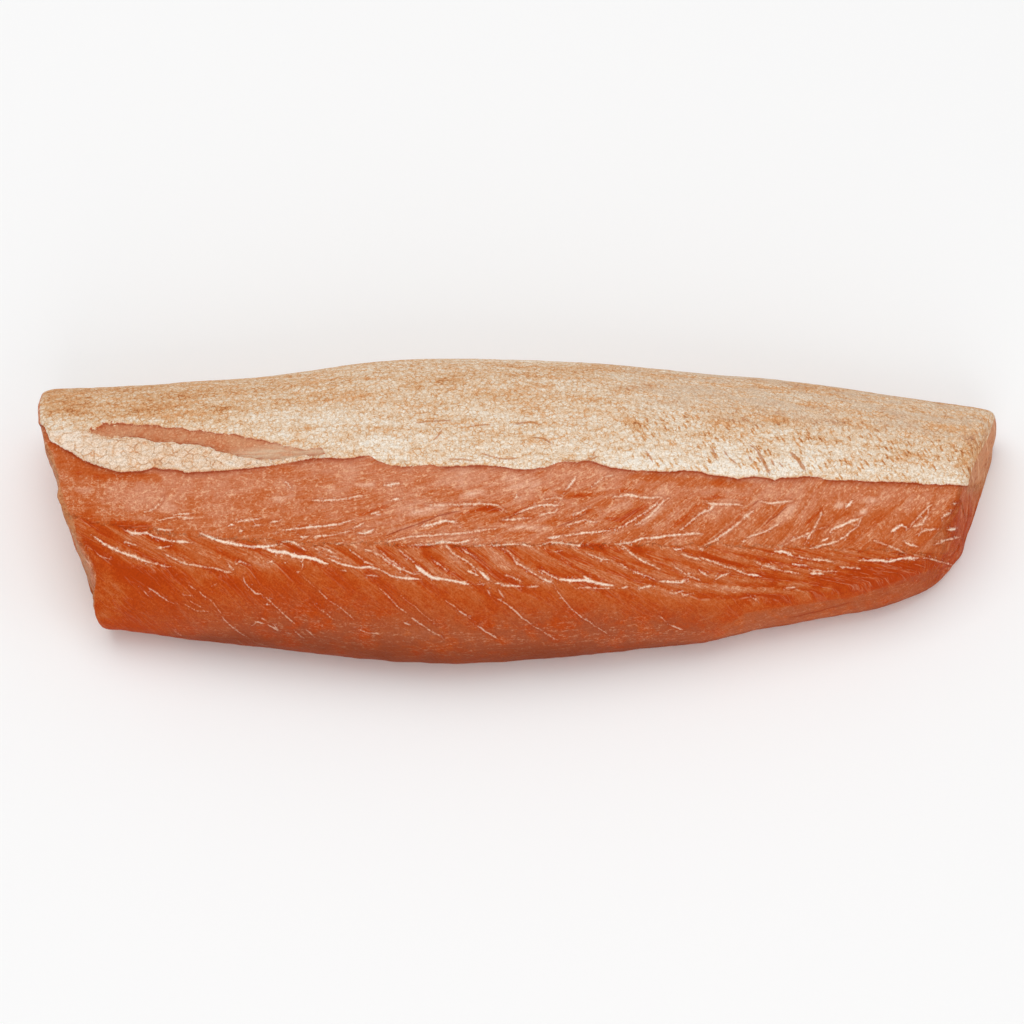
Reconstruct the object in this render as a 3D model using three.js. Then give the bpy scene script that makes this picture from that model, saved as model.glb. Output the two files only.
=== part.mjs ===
// A cured salmon loin: the thick back muscle of one side of the fish, skinned and sliced off
// at both ends. It lies on its flat side. The cream layer that sat under the skin still covers
// its back half, and the cut flesh with its V-shaped muscle flakes faces the front.
// Millimetres, +X along the loin to its thin end, -Y to the cut flesh side, +Z up.
// The origin is at the middle of the underside of the box round the loin.
import * as THREE from "three";
import { ImprovedNoise } from "three/addons/math/ImprovedNoise.js";
import { mergeVertices } from "three/addons/utils/BufferGeometryUtils.js";

// Driving dimensions.
const LENGTH = 247;
const MEMBRANE_THICKNESS = 0.9;
const FLAKE_PITCH = 14;
const END_ROUNDING = 2.4;
const LUMP_HEIGHT = 0.9;
const LUMP_LENGTH = 30;
const CRAG_HEIGHT = 1.1;
const CRAG_LENGTH = 9;

// The mesh: stations along the loin, points round each section, rings on each cut end.
const STATIONS = 92;
const AROUND = 52;
const END_RINGS = 5;

const noise = new ImprovedNoise();
const { clamp, smoothstep, lerp, degToRad } = THREE.MathUtils;
const power = (value, exponent) => Math.sign(value) * Math.abs(value) ** exponent;

// A smooth curve through a few [place, value] pairs, level beyond its ends.
function curve(pairs) {
  const places = pairs.map(([place]) => place);
  const values = pairs.map(([, value]) => value);
  const spline = new THREE.CubicInterpolant(places, values, 1);
  return (place) => spline.evaluate(clamp(place, places[0], places.at(-1)))[0];
}

// Plan and height along the loin, as [share of the length from the thick left end, millimetres]:
// the crown line, and how far the front and the back reach from it.
const crownHeight = curve([[0, 37], [0.2, 42], [0.45, 46], [0.7, 42], [0.9, 33], [1, 28]]);
const crownY = curve([[0, 7], [0.2, 3], [0.45, -1], [0.7, 0], [1, 4]]);
const frontReach = curve([
  [0, 35], [0.2, 37.8], [0.4, 38.2], [0.55, 35.4], [0.7, 31.9], [0.85, 26.7], [0.93, 24.6],
  [0.98, 17], [1, 8],
]);
const backReach = curve([[0, 33], [0.2, 39], [0.42, 49], [0.7, 45], [1, 33]]);

// The section: how high its sides bulge most, how far its round underside is cut away by the
// flat base, and how full each quarter is. A fullness of 2 is an ellipse, less is flatter with
// a sharper crown, and more is boxier.
const BULGE_SHARE = 0.3;
const BASE_CUT_SHARE = 0.16;
const FRONT_FULLNESS = 1.85;
const BACK_FULLNESS = 2.15;
const UNDER_FULLNESS = 2.6;

// The two end cuts slant in plan, as [y, x] in millimetres, and lean for each millimetre of height.
const leftCut = curve([[-30, 6.8], [-23, 9.8], [-5, 2], [4, 0.8], [12, -2.4], [38, -7.6]]);
const rightCut = curve([[-20, -8.4], [0, -2.6], [40, 10.4]]);
const LEFT_LEAN = -0.1;
const RIGHT_LEAN = -0.14;

// Degrees round the section: 0 is the front, 90 the crown, 180 the back, 270 the base.
// The points are closer together on the cut face and the crown than on the back and the base,
// and one row of faces follows the step at the front edge of the cream layer.
const FACE_FROM = -32;
const FACE_ROWS = 23;
const LIP_DEGREES = 1.4;
const CROWN_TO = 160;
const CROWN_ROWS = 16;

// The cream layer, from its wavy front edge to its back edge, as [share of the length, degrees],
// with a long tear near the left end that shows the flesh.
const membraneFront = curve([
  [0, 99], [0.03, 84], [0.07, 77.5], [0.115, 79.5], [0.15, 77.5], [0.235, 81], [0.305, 86],
  [0.355, 87.5], [0.395, 82.5], [0.465, 85], [0.53, 83], [0.59, 87], [0.63, 83.5], [0.77, 79],
  [0.85, 81], [0.93, 78.5], [1, 71],
]);
const MEMBRANE_BACK = 168;
const BACK_SOFTNESS = 2;
const TEAR = { from: 0.045, to: 0.31, halfWidth: 5, softness: 1.2 };
const tearMiddle = curve([[0.045, 95.5], [0.09, 98], [0.16, 94.5], [0.24, 88.8], [0.31, 89]]);

// The muscle flakes zigzag down the cut face: how far along X a flake's free edge is set back
// from the tip of its V, and how far it stands out, as [degrees round the section, millimetres].
// A flake is shorter than the one before it by a share of its pitch, and above the tips its edge
// sweeps further along the thick part of the loin.
const V_TIP = 48;
const FIRST_FLAKE = -119;
const FLAKE_CLOSING = 0.0225;
const flakeSetback = curve([[-40, 46], [-10, 36], [12, 22], [36, 11], [V_TIP, 0], [67, 13], [84, 21]]);
const flakeSweep = curve([[0, 2], [0.45, 2], [0.62, 1.3], [0.73, 1.05], [0.85, 0.7], [1, 0.8]]);
const flakeRelief = curve([
  [-40, 0], [0, 0.15], [28, 0.4], [42, 0.9], [54, 0.8], [70, 0.5], [86, 0.2], [200, 0.2], [240, 0],
]);
const FLAKE_RISE = 0.78;
const FLAKE_WANDER = 0.2;
const FLAKE_WANDER_LENGTH = 38;

// A share of one turn to degrees round the section at a share of the length.
function degreesAt(turn, share) {
  const row = turn * AROUND;
  const lip = membraneFront(share);
  const crownRow = row - FACE_ROWS - 1;
  const underRow = crownRow - CROWN_ROWS;
  if (row <= FACE_ROWS) return lerp(FACE_FROM, lip, row / FACE_ROWS);
  if (crownRow <= 0) return lerp(lip, lip + LIP_DEGREES, crownRow + 1);
  if (underRow <= 0) return lerp(lip + LIP_DEGREES, CROWN_TO, crownRow / CROWN_ROWS);
  return lerp(CROWN_TO, FACE_FROM + 360, underRow / (AROUND - FACE_ROWS - 1 - CROWN_ROWS));
}

// The middle of the section, that the rings of a cut end close in on.
function sectionMiddle(share) {
  return new THREE.Vector2(crownY(share), 0.42 * crownHeight(share));
}

// A point (y, z) of the smooth section, before the base is cut flat.
function sectionPoint(share, degrees) {
  const along = Math.cos(degToRad(degrees));
  const up = Math.sin(degToRad(degrees));
  const top = crownHeight(share);
  const bulge = BULGE_SHARE * top;
  const reach = along > 0 ? frontReach(share) : backReach(share);
  const upperFullness = along > 0 ? FRONT_FULLNESS : BACK_FULLNESS;
  const fullness = up < 0 ? UNDER_FULLNESS : upperFullness;
  const depth = up < 0 ? bulge + BASE_CUT_SHARE * top : top - bulge;
  const y = crownY(share) - reach * power(along, 2 / fullness);
  const z = bulge + depth * power(up, 2 / fullness);
  return new THREE.Vector2(y, z);
}

// The outward direction of the smooth section at a point, from its neighbours.
function sectionNormal(share, degrees) {
  const ahead = sectionPoint(share, degrees + 1);
  const behind = sectionPoint(share, degrees - 1);
  return new THREE.Vector2(behind.y - ahead.y, ahead.x - behind.x).normalize();
}

// 1 on the cream layer and 0 on bare flesh.
function membraneCover(share, degrees) {
  const front = membraneFront(share);
  const rise = smoothstep(degrees, front, front + LIP_DEGREES);
  const fall = 1 - smoothstep(degrees, MEMBRANE_BACK, MEMBRANE_BACK + BACK_SOFTNESS);
  const along = clamp((share - TEAR.from) / (TEAR.to - TEAR.from), 0, 1);
  const lens = TEAR.halfWidth * Math.sin(Math.PI * along) ** 0.7;
  const torn = 1 - smoothstep(Math.abs(degrees - tearMiddle(share)) - lens, -TEAR.softness, TEAR.softness);
  return rise * fall * (1 - torn * smoothstep(lens, 0, TEAR.softness));
}

// 0 to 1: a flake rises slowly towards its free edge and then drops to the next flake.
function flakeHeight(x, share, degrees) {
  const wander = FLAKE_WANDER * noise.noise(x / FLAKE_WANDER_LENGTH, degrees / FLAKE_WANDER_LENGTH, 0.5);
  const setback = flakeSetback(degrees) * (degrees > V_TIP ? flakeSweep(share) : 1);
  const from = (x - setback - FIRST_FLAKE) / FLAKE_PITCH;
  const count = wander - Math.log(1 - FLAKE_CLOSING * from) / FLAKE_CLOSING;
  const part = count - Math.floor(count);
  return part < FLAKE_RISE ? part / FLAKE_RISE : (1 - part) / (1 - FLAKE_RISE);
}

// How far a point of the section is moved along X, so that the ends come out slanted.
function slant(share, point) {
  const left = leftCut(point.x) + LEFT_LEAN * point.y;
  const right = rightCut(point.x) + RIGHT_LEAN * point.y;
  return lerp(left, right, share);
}

// A vertex of the turned blank, with its ring size, its turn and its place along the loin, to
// the vertex of the loin.
function place(size, turn, along) {
  const share = clamp(along / LENGTH + 0.5, 0, 1);
  const degrees = degreesAt(turn, share);
  const point = sectionPoint(share, degrees);
  const middle = sectionMiddle(share);
  const lump = LUMP_HEIGHT * noise.noise(along / LUMP_LENGTH, point.x / LUMP_LENGTH, point.y / LUMP_LENGTH);
  const cover = membraneCover(share, degrees);
  const flakeStep = flakeHeight(along + slant(share, point), share, degrees) - 0.5;
  const relief = lump + flakeRelief(degrees) * flakeStep * (1 - cover) + cover * MEMBRANE_THICKNESS;
  point.addScaledVector(sectionNormal(share, degrees), relief);
  point.lerpVectors(middle, point, size);
  const nearEnd = smoothstep(Math.abs(share - 0.5), 0.47, 0.5);
  const rough = noise.noise(point.x / CRAG_LENGTH, point.y / CRAG_LENGTH, Math.sign(along) + 0.5);
  const x = along + slant(share, point) + CRAG_HEIGHT * nearEnd * rough;
  return new THREE.Vector3(x, point.x, Math.max(point.y, 0));
}

// The blank that is turned: out over one cut end, round its rim, along the loin, and in again.
function blankProfile() {
  const half = LENGTH / 2;
  const rim = END_ROUNDING / (0.5 * crownHeight(0.5));
  const corner = Math.SQRT1_2;
  const end = [];
  for (let ring = 0; ring < END_RINGS; ring++) {
    end.push(new THREE.Vector2(((1 - rim) * ring) / END_RINGS, half));
  }
  end.push(new THREE.Vector2(1 - rim, half));
  end.push(new THREE.Vector2(1 - rim * (1 - corner), half - END_ROUNDING * (1 - corner)));
  const left = end.map((point) => new THREE.Vector2(point.x, -point.y));
  const body = [];
  for (let station = 0; station <= STATIONS; station++) {
    body.push(new THREE.Vector2(1, lerp(half - END_ROUNDING, END_ROUNDING - half, station / STATIONS)));
  }
  return [...end, ...body, ...left.reverse()];
}

// Turn the blank, move each of its vertices to its place on the loin, and close the seam.
function loinGeometry() {
  const blank = new THREE.LatheGeometry(blankProfile(), AROUND);
  const position = blank.getAttribute("position");
  const vertex = new THREE.Vector3();
  for (let i = 0; i < position.count; i++) {
    vertex.fromBufferAttribute(position, i);
    const size = Math.hypot(vertex.x, vertex.z);
    const turn = (Math.atan2(vertex.x, vertex.z) / (2 * Math.PI) + 1) % 1;
    const moved = place(size, turn > 1 - 1e-9 ? 0 : turn, vertex.y);
    position.setXYZ(i, moved.x, moved.y, moved.z);
  }
  blank.deleteAttribute("normal");
  blank.deleteAttribute("uv");
  const loin = mergeVertices(blank, 1e-3);
  loin.computeBoundingBox();
  const box = loin.boundingBox;
  loin.translate(-(box.min.x + box.max.x) / 2, -(box.min.y + box.max.y) / 2, -box.min.z);
  loin.computeVertexNormals();
  return loin;
}

const flesh = new THREE.MeshStandardMaterial({ name: "cured_flesh", color: 0xbd6743, roughness: 0.45 });
const loin = new THREE.Mesh(loinGeometry(), flesh);
loin.name = "salmon_loin";

const part = new THREE.Group();
part.name = "cured_salmon_loin";
part.add(loin);
export default part;
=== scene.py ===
import math

import bmesh
import bpy
import numpy as np
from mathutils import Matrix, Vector, noise


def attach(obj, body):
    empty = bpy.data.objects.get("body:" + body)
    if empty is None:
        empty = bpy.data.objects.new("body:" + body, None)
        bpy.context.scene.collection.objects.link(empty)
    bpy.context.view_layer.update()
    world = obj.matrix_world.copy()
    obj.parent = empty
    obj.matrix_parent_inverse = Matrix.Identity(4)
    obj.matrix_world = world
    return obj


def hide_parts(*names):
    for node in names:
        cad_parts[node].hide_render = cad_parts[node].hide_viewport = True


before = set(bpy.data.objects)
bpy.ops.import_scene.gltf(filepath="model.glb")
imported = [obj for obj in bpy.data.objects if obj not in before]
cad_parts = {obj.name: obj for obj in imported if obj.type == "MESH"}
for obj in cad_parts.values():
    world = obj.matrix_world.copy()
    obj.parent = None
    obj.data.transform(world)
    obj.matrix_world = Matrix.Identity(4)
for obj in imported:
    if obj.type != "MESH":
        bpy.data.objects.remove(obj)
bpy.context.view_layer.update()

# The camera stands in front of the cut face and looks down on the loin, so that the face and the
# cream membrane over its back both show. The lens is long, and the aim is close to the middle.
PHOTO_SIDE = 1024
PHOTO_MIDDLE = PHOTO_SIDE / 2
MM_PER_METRE = 1000
MM_PER_PIXEL = 0.2722
VIEW_ELEVATION = math.radians(60)
VIEW_DISTANCE = 1200.0
VIEW_AIM = np.array((-2.5, -2.5, 18.0))
SENSOR_WIDTH = 36.0

view_back = np.array((0.0, -math.cos(VIEW_ELEVATION), math.sin(VIEW_ELEVATION)))
view_up = np.array((0.0, math.sin(VIEW_ELEVATION), math.cos(VIEW_ELEVATION)))
view_place = VIEW_AIM + VIEW_DISTANCE * view_back

camera_data = bpy.data.cameras.new("camera")
camera_data.sensor_width = SENSOR_WIDTH
camera_data.lens = SENSOR_WIDTH * VIEW_DISTANCE / (PHOTO_SIDE * MM_PER_PIXEL)
camera = bpy.data.objects.new("camera", camera_data)
camera.location = Vector(view_place / MM_PER_METRE)
camera.rotation_euler = Vector(-view_back).to_track_quat("-Z", "Y").to_euler()
bpy.context.scene.collection.objects.link(camera)
bpy.context.scene.camera = camera


# The loin: one bar of back muscle, skinned, cured and sliced off at both ends. It starts as the
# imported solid, merged, evened out and rounded, and is then given its finer relief.
MERGE_DISTANCE = 1e-6
FLAT_WITHIN = math.radians(60)
SQUARE_WITHIN = math.radians(120)
MOST_END_TURN = 0.5
MOST_DOWN_TURN = -0.6
EVENING_PASSES = 6
EVENING_FACTOR = 0.5
EVENED_AWAY = 0.3
SMOOTH_LEVELS = 2

loin_mesh = bpy.data.meshes.new("salmon_loin_flesh")
loin_bmesh = bmesh.new()
loin_bmesh.from_mesh(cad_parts["salmon_loin"].data)
bmesh.ops.remove_doubles(loin_bmesh, verts=loin_bmesh.verts, dist=MERGE_DISTANCE)
bmesh.ops.join_triangles(
    loin_bmesh,
    faces=loin_bmesh.faces,
    angle_face_threshold=FLAT_WITHIN,
    angle_shape_threshold=SQUARE_WITHIN,
)
loin_bmesh.normal_update()
open_sides = [
    vertex
    for vertex in loin_bmesh.verts
    if abs(vertex.normal.x) < MOST_END_TURN and vertex.normal.z > MOST_DOWN_TURN
]
for _ in range(EVENING_PASSES):
    bmesh.ops.smooth_vert(
        loin_bmesh,
        verts=open_sides,
        factor=EVENING_FACTOR,
        use_axis_x=True,
        use_axis_y=True,
        use_axis_z=True,
    )
loin_bmesh.normal_update()
for vertex in open_sides:
    vertex.co += vertex.normal * (EVENED_AWAY / MM_PER_METRE)
loin_bmesh.to_mesh(loin_mesh)
loin_bmesh.free()
loin = bpy.data.objects.new("loin", loin_mesh)
bpy.context.scene.collection.objects.link(loin)
rounding = loin.modifiers.new("rounding", "SUBSURF")
rounding.levels = SMOOTH_LEVELS
rounding.render_levels = SMOOTH_LEVELS
bpy.context.view_layer.update()
rounded_mesh = bpy.data.meshes.new_from_object(loin.evaluated_get(bpy.context.evaluated_depsgraph_get()))
loin.modifiers.clear()
loin.data = rounded_mesh
rounded_mesh.name = "loin"
bpy.data.meshes.remove(loin_mesh)

count = len(rounded_mesh.vertices)
place = np.empty(count * 3)
rounded_mesh.vertices.foreach_get("co", place)
place = place.reshape(-1, 3) * MM_PER_METRE
outward = np.empty(count * 3)
rounded_mesh.vertex_normals.foreach_get("vector", outward)
outward = outward.reshape(-1, 3)


def in_photo(places):
    """Where places in millimetres lie in the photograph, in pixels across and down."""
    from_view = places - view_place
    pixels = VIEW_DISTANCE / MM_PER_PIXEL / -(from_view @ view_back)
    return PHOTO_MIDDLE + pixels * from_view[:, 0], PHOTO_MIDDLE - pixels * (from_view @ view_up)


def smooth(value, border, inside):
    """0 at the border value and past it, 1 at the inside value and past it, soft between."""
    share = np.clip((value - border) / (inside - border), 0, 1)
    return share * share * (3 - 2 * share)


def along(points):
    """The height in the photograph of a line of (x, y) points, at each point of the loin."""
    line = np.array(points, dtype=float)
    return np.interp(photo_x, line[:, 0], line[:, 1])


def beside(points):
    """The place across the photograph of a line of (y, x) points, at each point of the loin."""
    line = np.array(points, dtype=float)
    return np.interp(photo_y, line[:, 0], line[:, 1])


def ripple(places, length, seed):
    """Even noise from -1 to 1 at places in millimetres, with bumps of the given length."""
    shift = Vector([seed * step for step in SEED_STEPS])
    return np.array([noise.noise(Vector(p) / length + shift) for p in places])


def zone(limits):
    """1 inside a zone and 0 outside it. A limit is a measure and its values at the border and inside."""
    share = np.ones(count)
    for measure, border, inside in limits:
        share = share * smooth(measures[measure], border, inside)
    return share


def zones(rows):
    """The sum of the amounts of zones, which may overlap."""
    return sum(amount * zone(limits) for amount, *limits in rows)


def uneven(shares):
    """A mix of the loin's bumps, by a share of each kind."""
    return sum(share * bumps[kind] for kind, share in shares.items())


def patch(x, y, half_x, half_y, tilt=0.0):
    """1 inside a ragged oval of the photograph and 0 outside it. The tilt is in degrees, clockwise."""
    turn = math.radians(tilt)
    dx = photo_x - x
    dy = photo_y - y
    across = (dx * math.cos(turn) + dy * math.sin(turn)) / half_x
    down = (dy * math.cos(turn) - dx * math.sin(turn)) / half_y
    return smooth(np.hypot(across, down) + uneven(PATCH_RAGGED), *PATCH_EDGE) * (facing > 0)


def patches(rows):
    """The sum of the amounts of ragged ovals, which may overlap."""
    return sum(amount * patch(*oval) for *oval, amount in rows)


# The slice at the thick end wanders and the lower edge is trimmed a little, as the outline in the
# photograph shows. Both are given in pixels, beside (y, x) and along (x, y) points of the outline.
LEFT_EDGE = (
    (400, 38), (440, 44), (470, 52), (490, 56), (520, 65), (540, 75), (570, 86), (600, 92), (620, 98),
)
LEFT_SHIFT = (
    (440, 0), (480, -2), (496, -5), (512, -2), (524, 0), (538, 4), (552, 1), (576, 0), (592, -5), (606, -4),
    (620, -1), (630, 0),
)
BOTTOM_EDGE = (
    (100, 623), (140, 634), (240, 644), (340, 655), (474, 663), (540, 658), (620, 653), (700, 643),
    (744, 632), (792, 624), (840, 616), (888, 605), (912, 596), (936, 584), (960, 556),
)
BOTTOM_SHIFT = (
    (100, 0), (120, 2.5), (290, 2.5), (340, 1), (400, 0.5), (480, 0), (640, -1.5), (700, -2), (730, 0),
    (790, 2), (864, 5), (890, 5), (915, 3), (936, 0),
)
EDGE_REACH = 28
LEFT_MARGIN = 3
BOTTOM_MARGIN = 5
SLICE_STILL = 0.75
SLICE_TURN = (0.7, 0.95)

photo_x, photo_y = in_photo(place)
near_left = smooth(photo_x - beside(LEFT_EDGE), EDGE_REACH, LEFT_MARGIN)
near_left *= 1 - SLICE_STILL * smooth(-outward[:, 0], *SLICE_TURN)
near_bottom = smooth(photo_y - along(BOTTOM_EDGE), -EDGE_REACH, -BOTTOM_MARGIN)
place[:, 0] += MM_PER_PIXEL * beside(LEFT_SHIFT) * near_left
place[:, 1] += MM_PER_PIXEL * along(BOTTOM_SHIFT) / math.sin(VIEW_ELEVATION) * near_bottom

# What the details of the loin are placed by: the photograph, how far a point faces the front or an
# end, and four kinds of bumps, each with its length in millimetres and its seed.
FRONT_TURN = (0.02, 0.2)
END_TURN = (0.55, 0.85)
SEED_STEPS = (17.3, 5.9, 11.1)
BUMPS = {"grains": (2.2, 3), "beads": (3.1, 4), "lumps": (6, 1), "swells": (14, 2)}
PATCH_RAGGED = {"grains": 0.45, "beads": 0.35}
PATCH_EDGE = (1.3, 0.5)

photo_x, photo_y = in_photo(place)
to_view = view_place - place
facing = np.sum(outward * to_view, axis=1) / np.linalg.norm(to_view, axis=1)
end_share = smooth(np.abs(outward[:, 0]), *END_TURN)
on_front = smooth(facing, *FRONT_TURN) * (1 - end_share)
bumps = {kind: ripple(place, length, seed) for kind, (length, seed) in BUMPS.items()}
measures = {"across": photo_x, "facing": facing}

# The membrane: a cream skin of fat and scale pockets that stays when the skin is pulled off. Its
# front edge is a ragged lip, its back edge is trimmed off close to the table, and near the thick
# end it is torn, so that a strip of flesh and a thin film show behind a loose flap.
MEMBRANE_EDGE = (
    (30, 415), (45, 428), (50, 441), (58, 446), (69, 452), (82, 460), (93, 465), (107, 469), (121, 472),
    (144, 471), (153, 468), (176, 470), (185, 473), (226, 471), (263, 467), (295, 462), (325, 458),
    (340, 458), (351, 459), (362, 456), (370, 457), (378, 461), (390, 465), (407, 467), (432, 465),
    (452, 467), (469, 465), (487, 465), (512, 469), (526, 470), (537, 469), (547, 467), (558, 463),
    (590, 461), (600, 464), (611, 468), (638, 471), (666, 472), (682, 471), (700, 472), (711, 475),
    (738, 479), (752, 477), (766, 478), (775, 481), (780, 478), (807, 477), (818, 477), (825, 480),
    (890, 482), (940, 485), (968, 485), (1000, 482),
)
TEAR_TOP = (
    (88, 433), (96, 428), (107, 425), (121, 424), (157, 426), (194, 430), (226, 434), (240, 435),
    (250, 439), (275, 442), (284, 446), (307, 449), (321, 448), (326, 454),
)
TEAR_BOTTOM = (
    (88, 433), (100, 438), (111, 440), (126, 437), (144, 439), (155, 443), (167, 441), (181, 444),
    (210, 447), (217, 452), (240, 457), (263, 461), (277, 459), (305, 456), (326, 454),
)
TEAR_ENDS = (88, 326)
CREST = ((40, 390), (300, 372), (450, 359), (560, 362), (700, 373), (850, 390), (990, 410))
EDGE_WANDER = {"grains": 1.2, "lumps": 0.8}
TEAR_WANDER = {"grains": 1.8, "beads": 1.5}
BACK_TRIM_HEIGHT = 7.0
BACK_TRIM_WANDER = {"swells": 2.5, "lumps": 1.2}
NO_TEAR = -20
FILM_SLANT = 5.4
FILM_LEVEL = 446
FILM_START = (240, 300)
FILM_EDGE = (-0.2, 0.4)
FLAP_TOP = (-2, 2)
FLAP_TAPER = 20
FLAP_RIM = (-0.1, 0.4)
MEMBRANE_RIM = (-0.1, 0.3)

front_gap = (along(MEMBRANE_EDGE) - photo_y + uneven(EDGE_WANDER)) * MM_PER_PIXEL
back_gap = place[:, 2] - BACK_TRIM_HEIGHT - uneven(BACK_TRIM_WANDER)
in_tear_ends = np.minimum(photo_x - TEAR_ENDS[0], TEAR_ENDS[1] - photo_x)
tear_gap = np.minimum(photo_y - along(TEAR_TOP), along(TEAR_BOTTOM) - photo_y) + uneven(TEAR_WANDER)
tear_gap = np.minimum(tear_gap, in_tear_ends) * MM_PER_PIXEL
tear_gap = np.where(facing > 0, tear_gap, NO_TEAR)
membrane_gap = np.minimum(np.minimum(front_gap, back_gap), -tear_gap)
film_share = smooth(photo_x + FILM_SLANT * (photo_y - FILM_LEVEL), *FILM_START)
film_share *= smooth(tear_gap, *FILM_EDGE)
flap_share = smooth(photo_y - along(TEAR_BOTTOM), *FLAP_TOP) * smooth(TEAR_ENDS[1] - photo_x, 0, FLAP_TAPER)
flap_share = flap_share * smooth(membrane_gap, *FLAP_RIM) * (facing > 0)
on_membrane = smooth(membrane_gap, *MEMBRANE_RIM)
flesh_share = 1 - on_membrane

# How tan the membrane is, from cream at 0 to tan at 1: most at the thick end and up at the crest,
# least along the lip, with patches of both. A patch has its middle, its half sizes, its tilt and
# its amount, in pixels and degrees. Dashes show toward the thin end, and grey fat at the crest there.
TAN_BASE = 0.12
TAN_ZONES = (
    (0.4, ("crest", 0.2, 1.0)),
    (-0.22, ("crest", 0.4, 0.05), ("across", 520, 640)),
    (0.28, ("across", 300, 150), ("crest", 0.3, 0.7)),
    (0.16, ("across", 600, 800), ("crest", 0.2, 0.6)),
)
DASH_ZONE = (("across", 600, 660), ("crest", 0.8, 0.45))
GREY_ZONE = (("across", 560, 720), ("crest", 0.4, 0.8))
TAN_PATCH_SHARE = 1.5
TAN_PATCHES = (
    (170, 405, 150, 20, -3, 0.14), (410, 385, 14, 5, 0, 0.3), (447, 384, 20, 7, -25, 0.35),
    (533, 385, 16, 5, -8, 0.35), (630, 389, 40, 3, -8, 0.4), (633, 425, 14, 7, 40, 0.5),
    (725, 425, 24, 8, 5, 0.25), (776, 419, 12, 7, 0, 0.45), (820, 440, 18, 3, 6, 0.5),
    (893, 415, 14, 6, 0, 0.3), (900, 452, 40, 4, 8, 0.3), (757, 379, 10, 4, 8, 0.4),
    (815, 387, 45, 3, 9, 0.3), (943, 404, 14, 3.5, 10, 0.4), (195, 420, 60, 5, 5, 0.25),
    (300, 430, 12, 8, 0, 0.25), (222, 412, 10, 5, 0, 0.3), (150, 407, 30, 5, 0, 0.2),
    (60, 402, 34, 14, 0, 0.35), (170, 458, 56, 10, 4, 0.15), (470, 453, 70, 10, 2, 0.16),
    (955, 428, 26, 12, 5, 0.2), (973, 455, 13, 28, 25, 0.6),
)
WHITE_PATCHES = (
    (728, 462, 28, 15, 10, 0.5), (785, 466, 16, 10, 20, 0.6), (812, 459, 13, 9, 10, 0.55),
    (640, 462, 40, 8, 8, 0.4), (838, 477, 16, 3, 0, 0.4), (420, 458, 60, 7, 3, 0.3),
    (500, 462, 40, 6, 3, 0.25), (580, 452, 24, 9, 0, 0.3), (385, 446, 28, 10, 20, 0.35),
    (66, 442, 20, 12, 35, 0.6), (110, 462, 16, 6, 20, 0.3), (320, 440, 20, 6, 15, 0.25),
    (680, 412, 30, 10, 10, 0.2), (590, 420, 30, 8, 0, 0.2), (745, 393, 30, 8, 10, 0.15),
)
crest_share = (along(MEMBRANE_EDGE) - photo_y) / (along(MEMBRANE_EDGE) - along(CREST))
crest_share = np.where(facing > 0, np.clip(crest_share, 0, 1), 1)
measures["crest"] = crest_share
tan = TAN_BASE + zones(TAN_ZONES) + TAN_PATCH_SHARE * patches(TAN_PATCHES) - patches(WHITE_PATCHES)
dash_share = zone(DASH_ZONE) * (facing > 0)
grey_share = zone(GREY_ZONE) * (facing > 0)

# The flakes: the muscle is a stack of nested cones that point to the thick end, with thin white
# sheets between them. The cut face shows each sheet as a V on its side, closer at the thin end.
CHEVRON = (
    (60, 515), (130, 528), (200, 537), (300, 543), (400, 545), (700, 545), (800, 547), (900, 552), (980, 556),
)
SEPTUM = (
    (60, 540), (157, 566), (226, 572), (300, 560), (350, 566), (400, 576), (470, 584), (540, 582), (600, 584),
    (690, 594), (760, 598), (830, 590), (900, 575), (980, 562),
)
LOW_BAND_DEPTH = ((60, 90), (300, 95), (470, 80), (700, 45), (900, 30), (980, 20))
FIRST_SHEET = 78.0
SHEET_SPACING = 52.0
SHEET_CLOSING = 0.02247
SHEET_LIMITS = (-3, 0.9)
SHEET_WANDER = {"swells": 5, "lumps": 1.5}
SLOPE_ABOVE = (
    (60, 5), (200, 5.5), (380, 4.5), (500, 3.4), (560, 2.2), (640, 1.4), (760, 1.1), (815, 0.7), (860, 1.2),
    (980, 1),
)
SLOPE_BELOW = ((60, 2.4), (250, 2.4), (380, 1.3), (520, 1.4), (600, 2.2), (700, 3.0), (800, 5.0), (980, 6.0))
SLOPE_LOW = ((60, 1.4), (500, 1.2), (980, 1.4))
CONE_AXIS = ((-120, -14, 31), (-60, -22, 34), (-10, -25, 38), (48, -21, 33), (97, -15, 21), (130, -8, 18))
CONE_SETBACK = 1.05
CONE_SHIFT = 7
UPPER_BAND_DEPTH = 45
FLAKE_FADES = ((0.75, ("upper band", 0.9, 1.6)), (0.8, ("low band", 0, 0.35)))
LEFT_FADE = (0.7, ("across", 420, 340), ("tips", 0, -8))
LEAST_FLAKE = 0.1
FLAKE_RISE = 0.86
FIBRE_STEP = 0.7
FIBRE_SHIFT = 90


def sheets_before(photo_place):
    """How many sheets lie between the thick end and a place along the photograph."""
    share = np.clip(SHEET_CLOSING * (photo_place - FIRST_SHEET) / SHEET_SPACING, *SHEET_LIMITS)
    return -np.log(1 - share) / SHEET_CLOSING


def climb(slopes):
    """How far fibres of the given slopes climb, in pixels, from the left border to each point."""
    steps = np.arange(PHOTO_SIDE + 1)
    line = np.array(slopes, dtype=float)
    return np.interp(photo_x, steps, np.cumsum(1 / np.interp(steps, line[:, 0], line[:, 1])))


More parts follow.
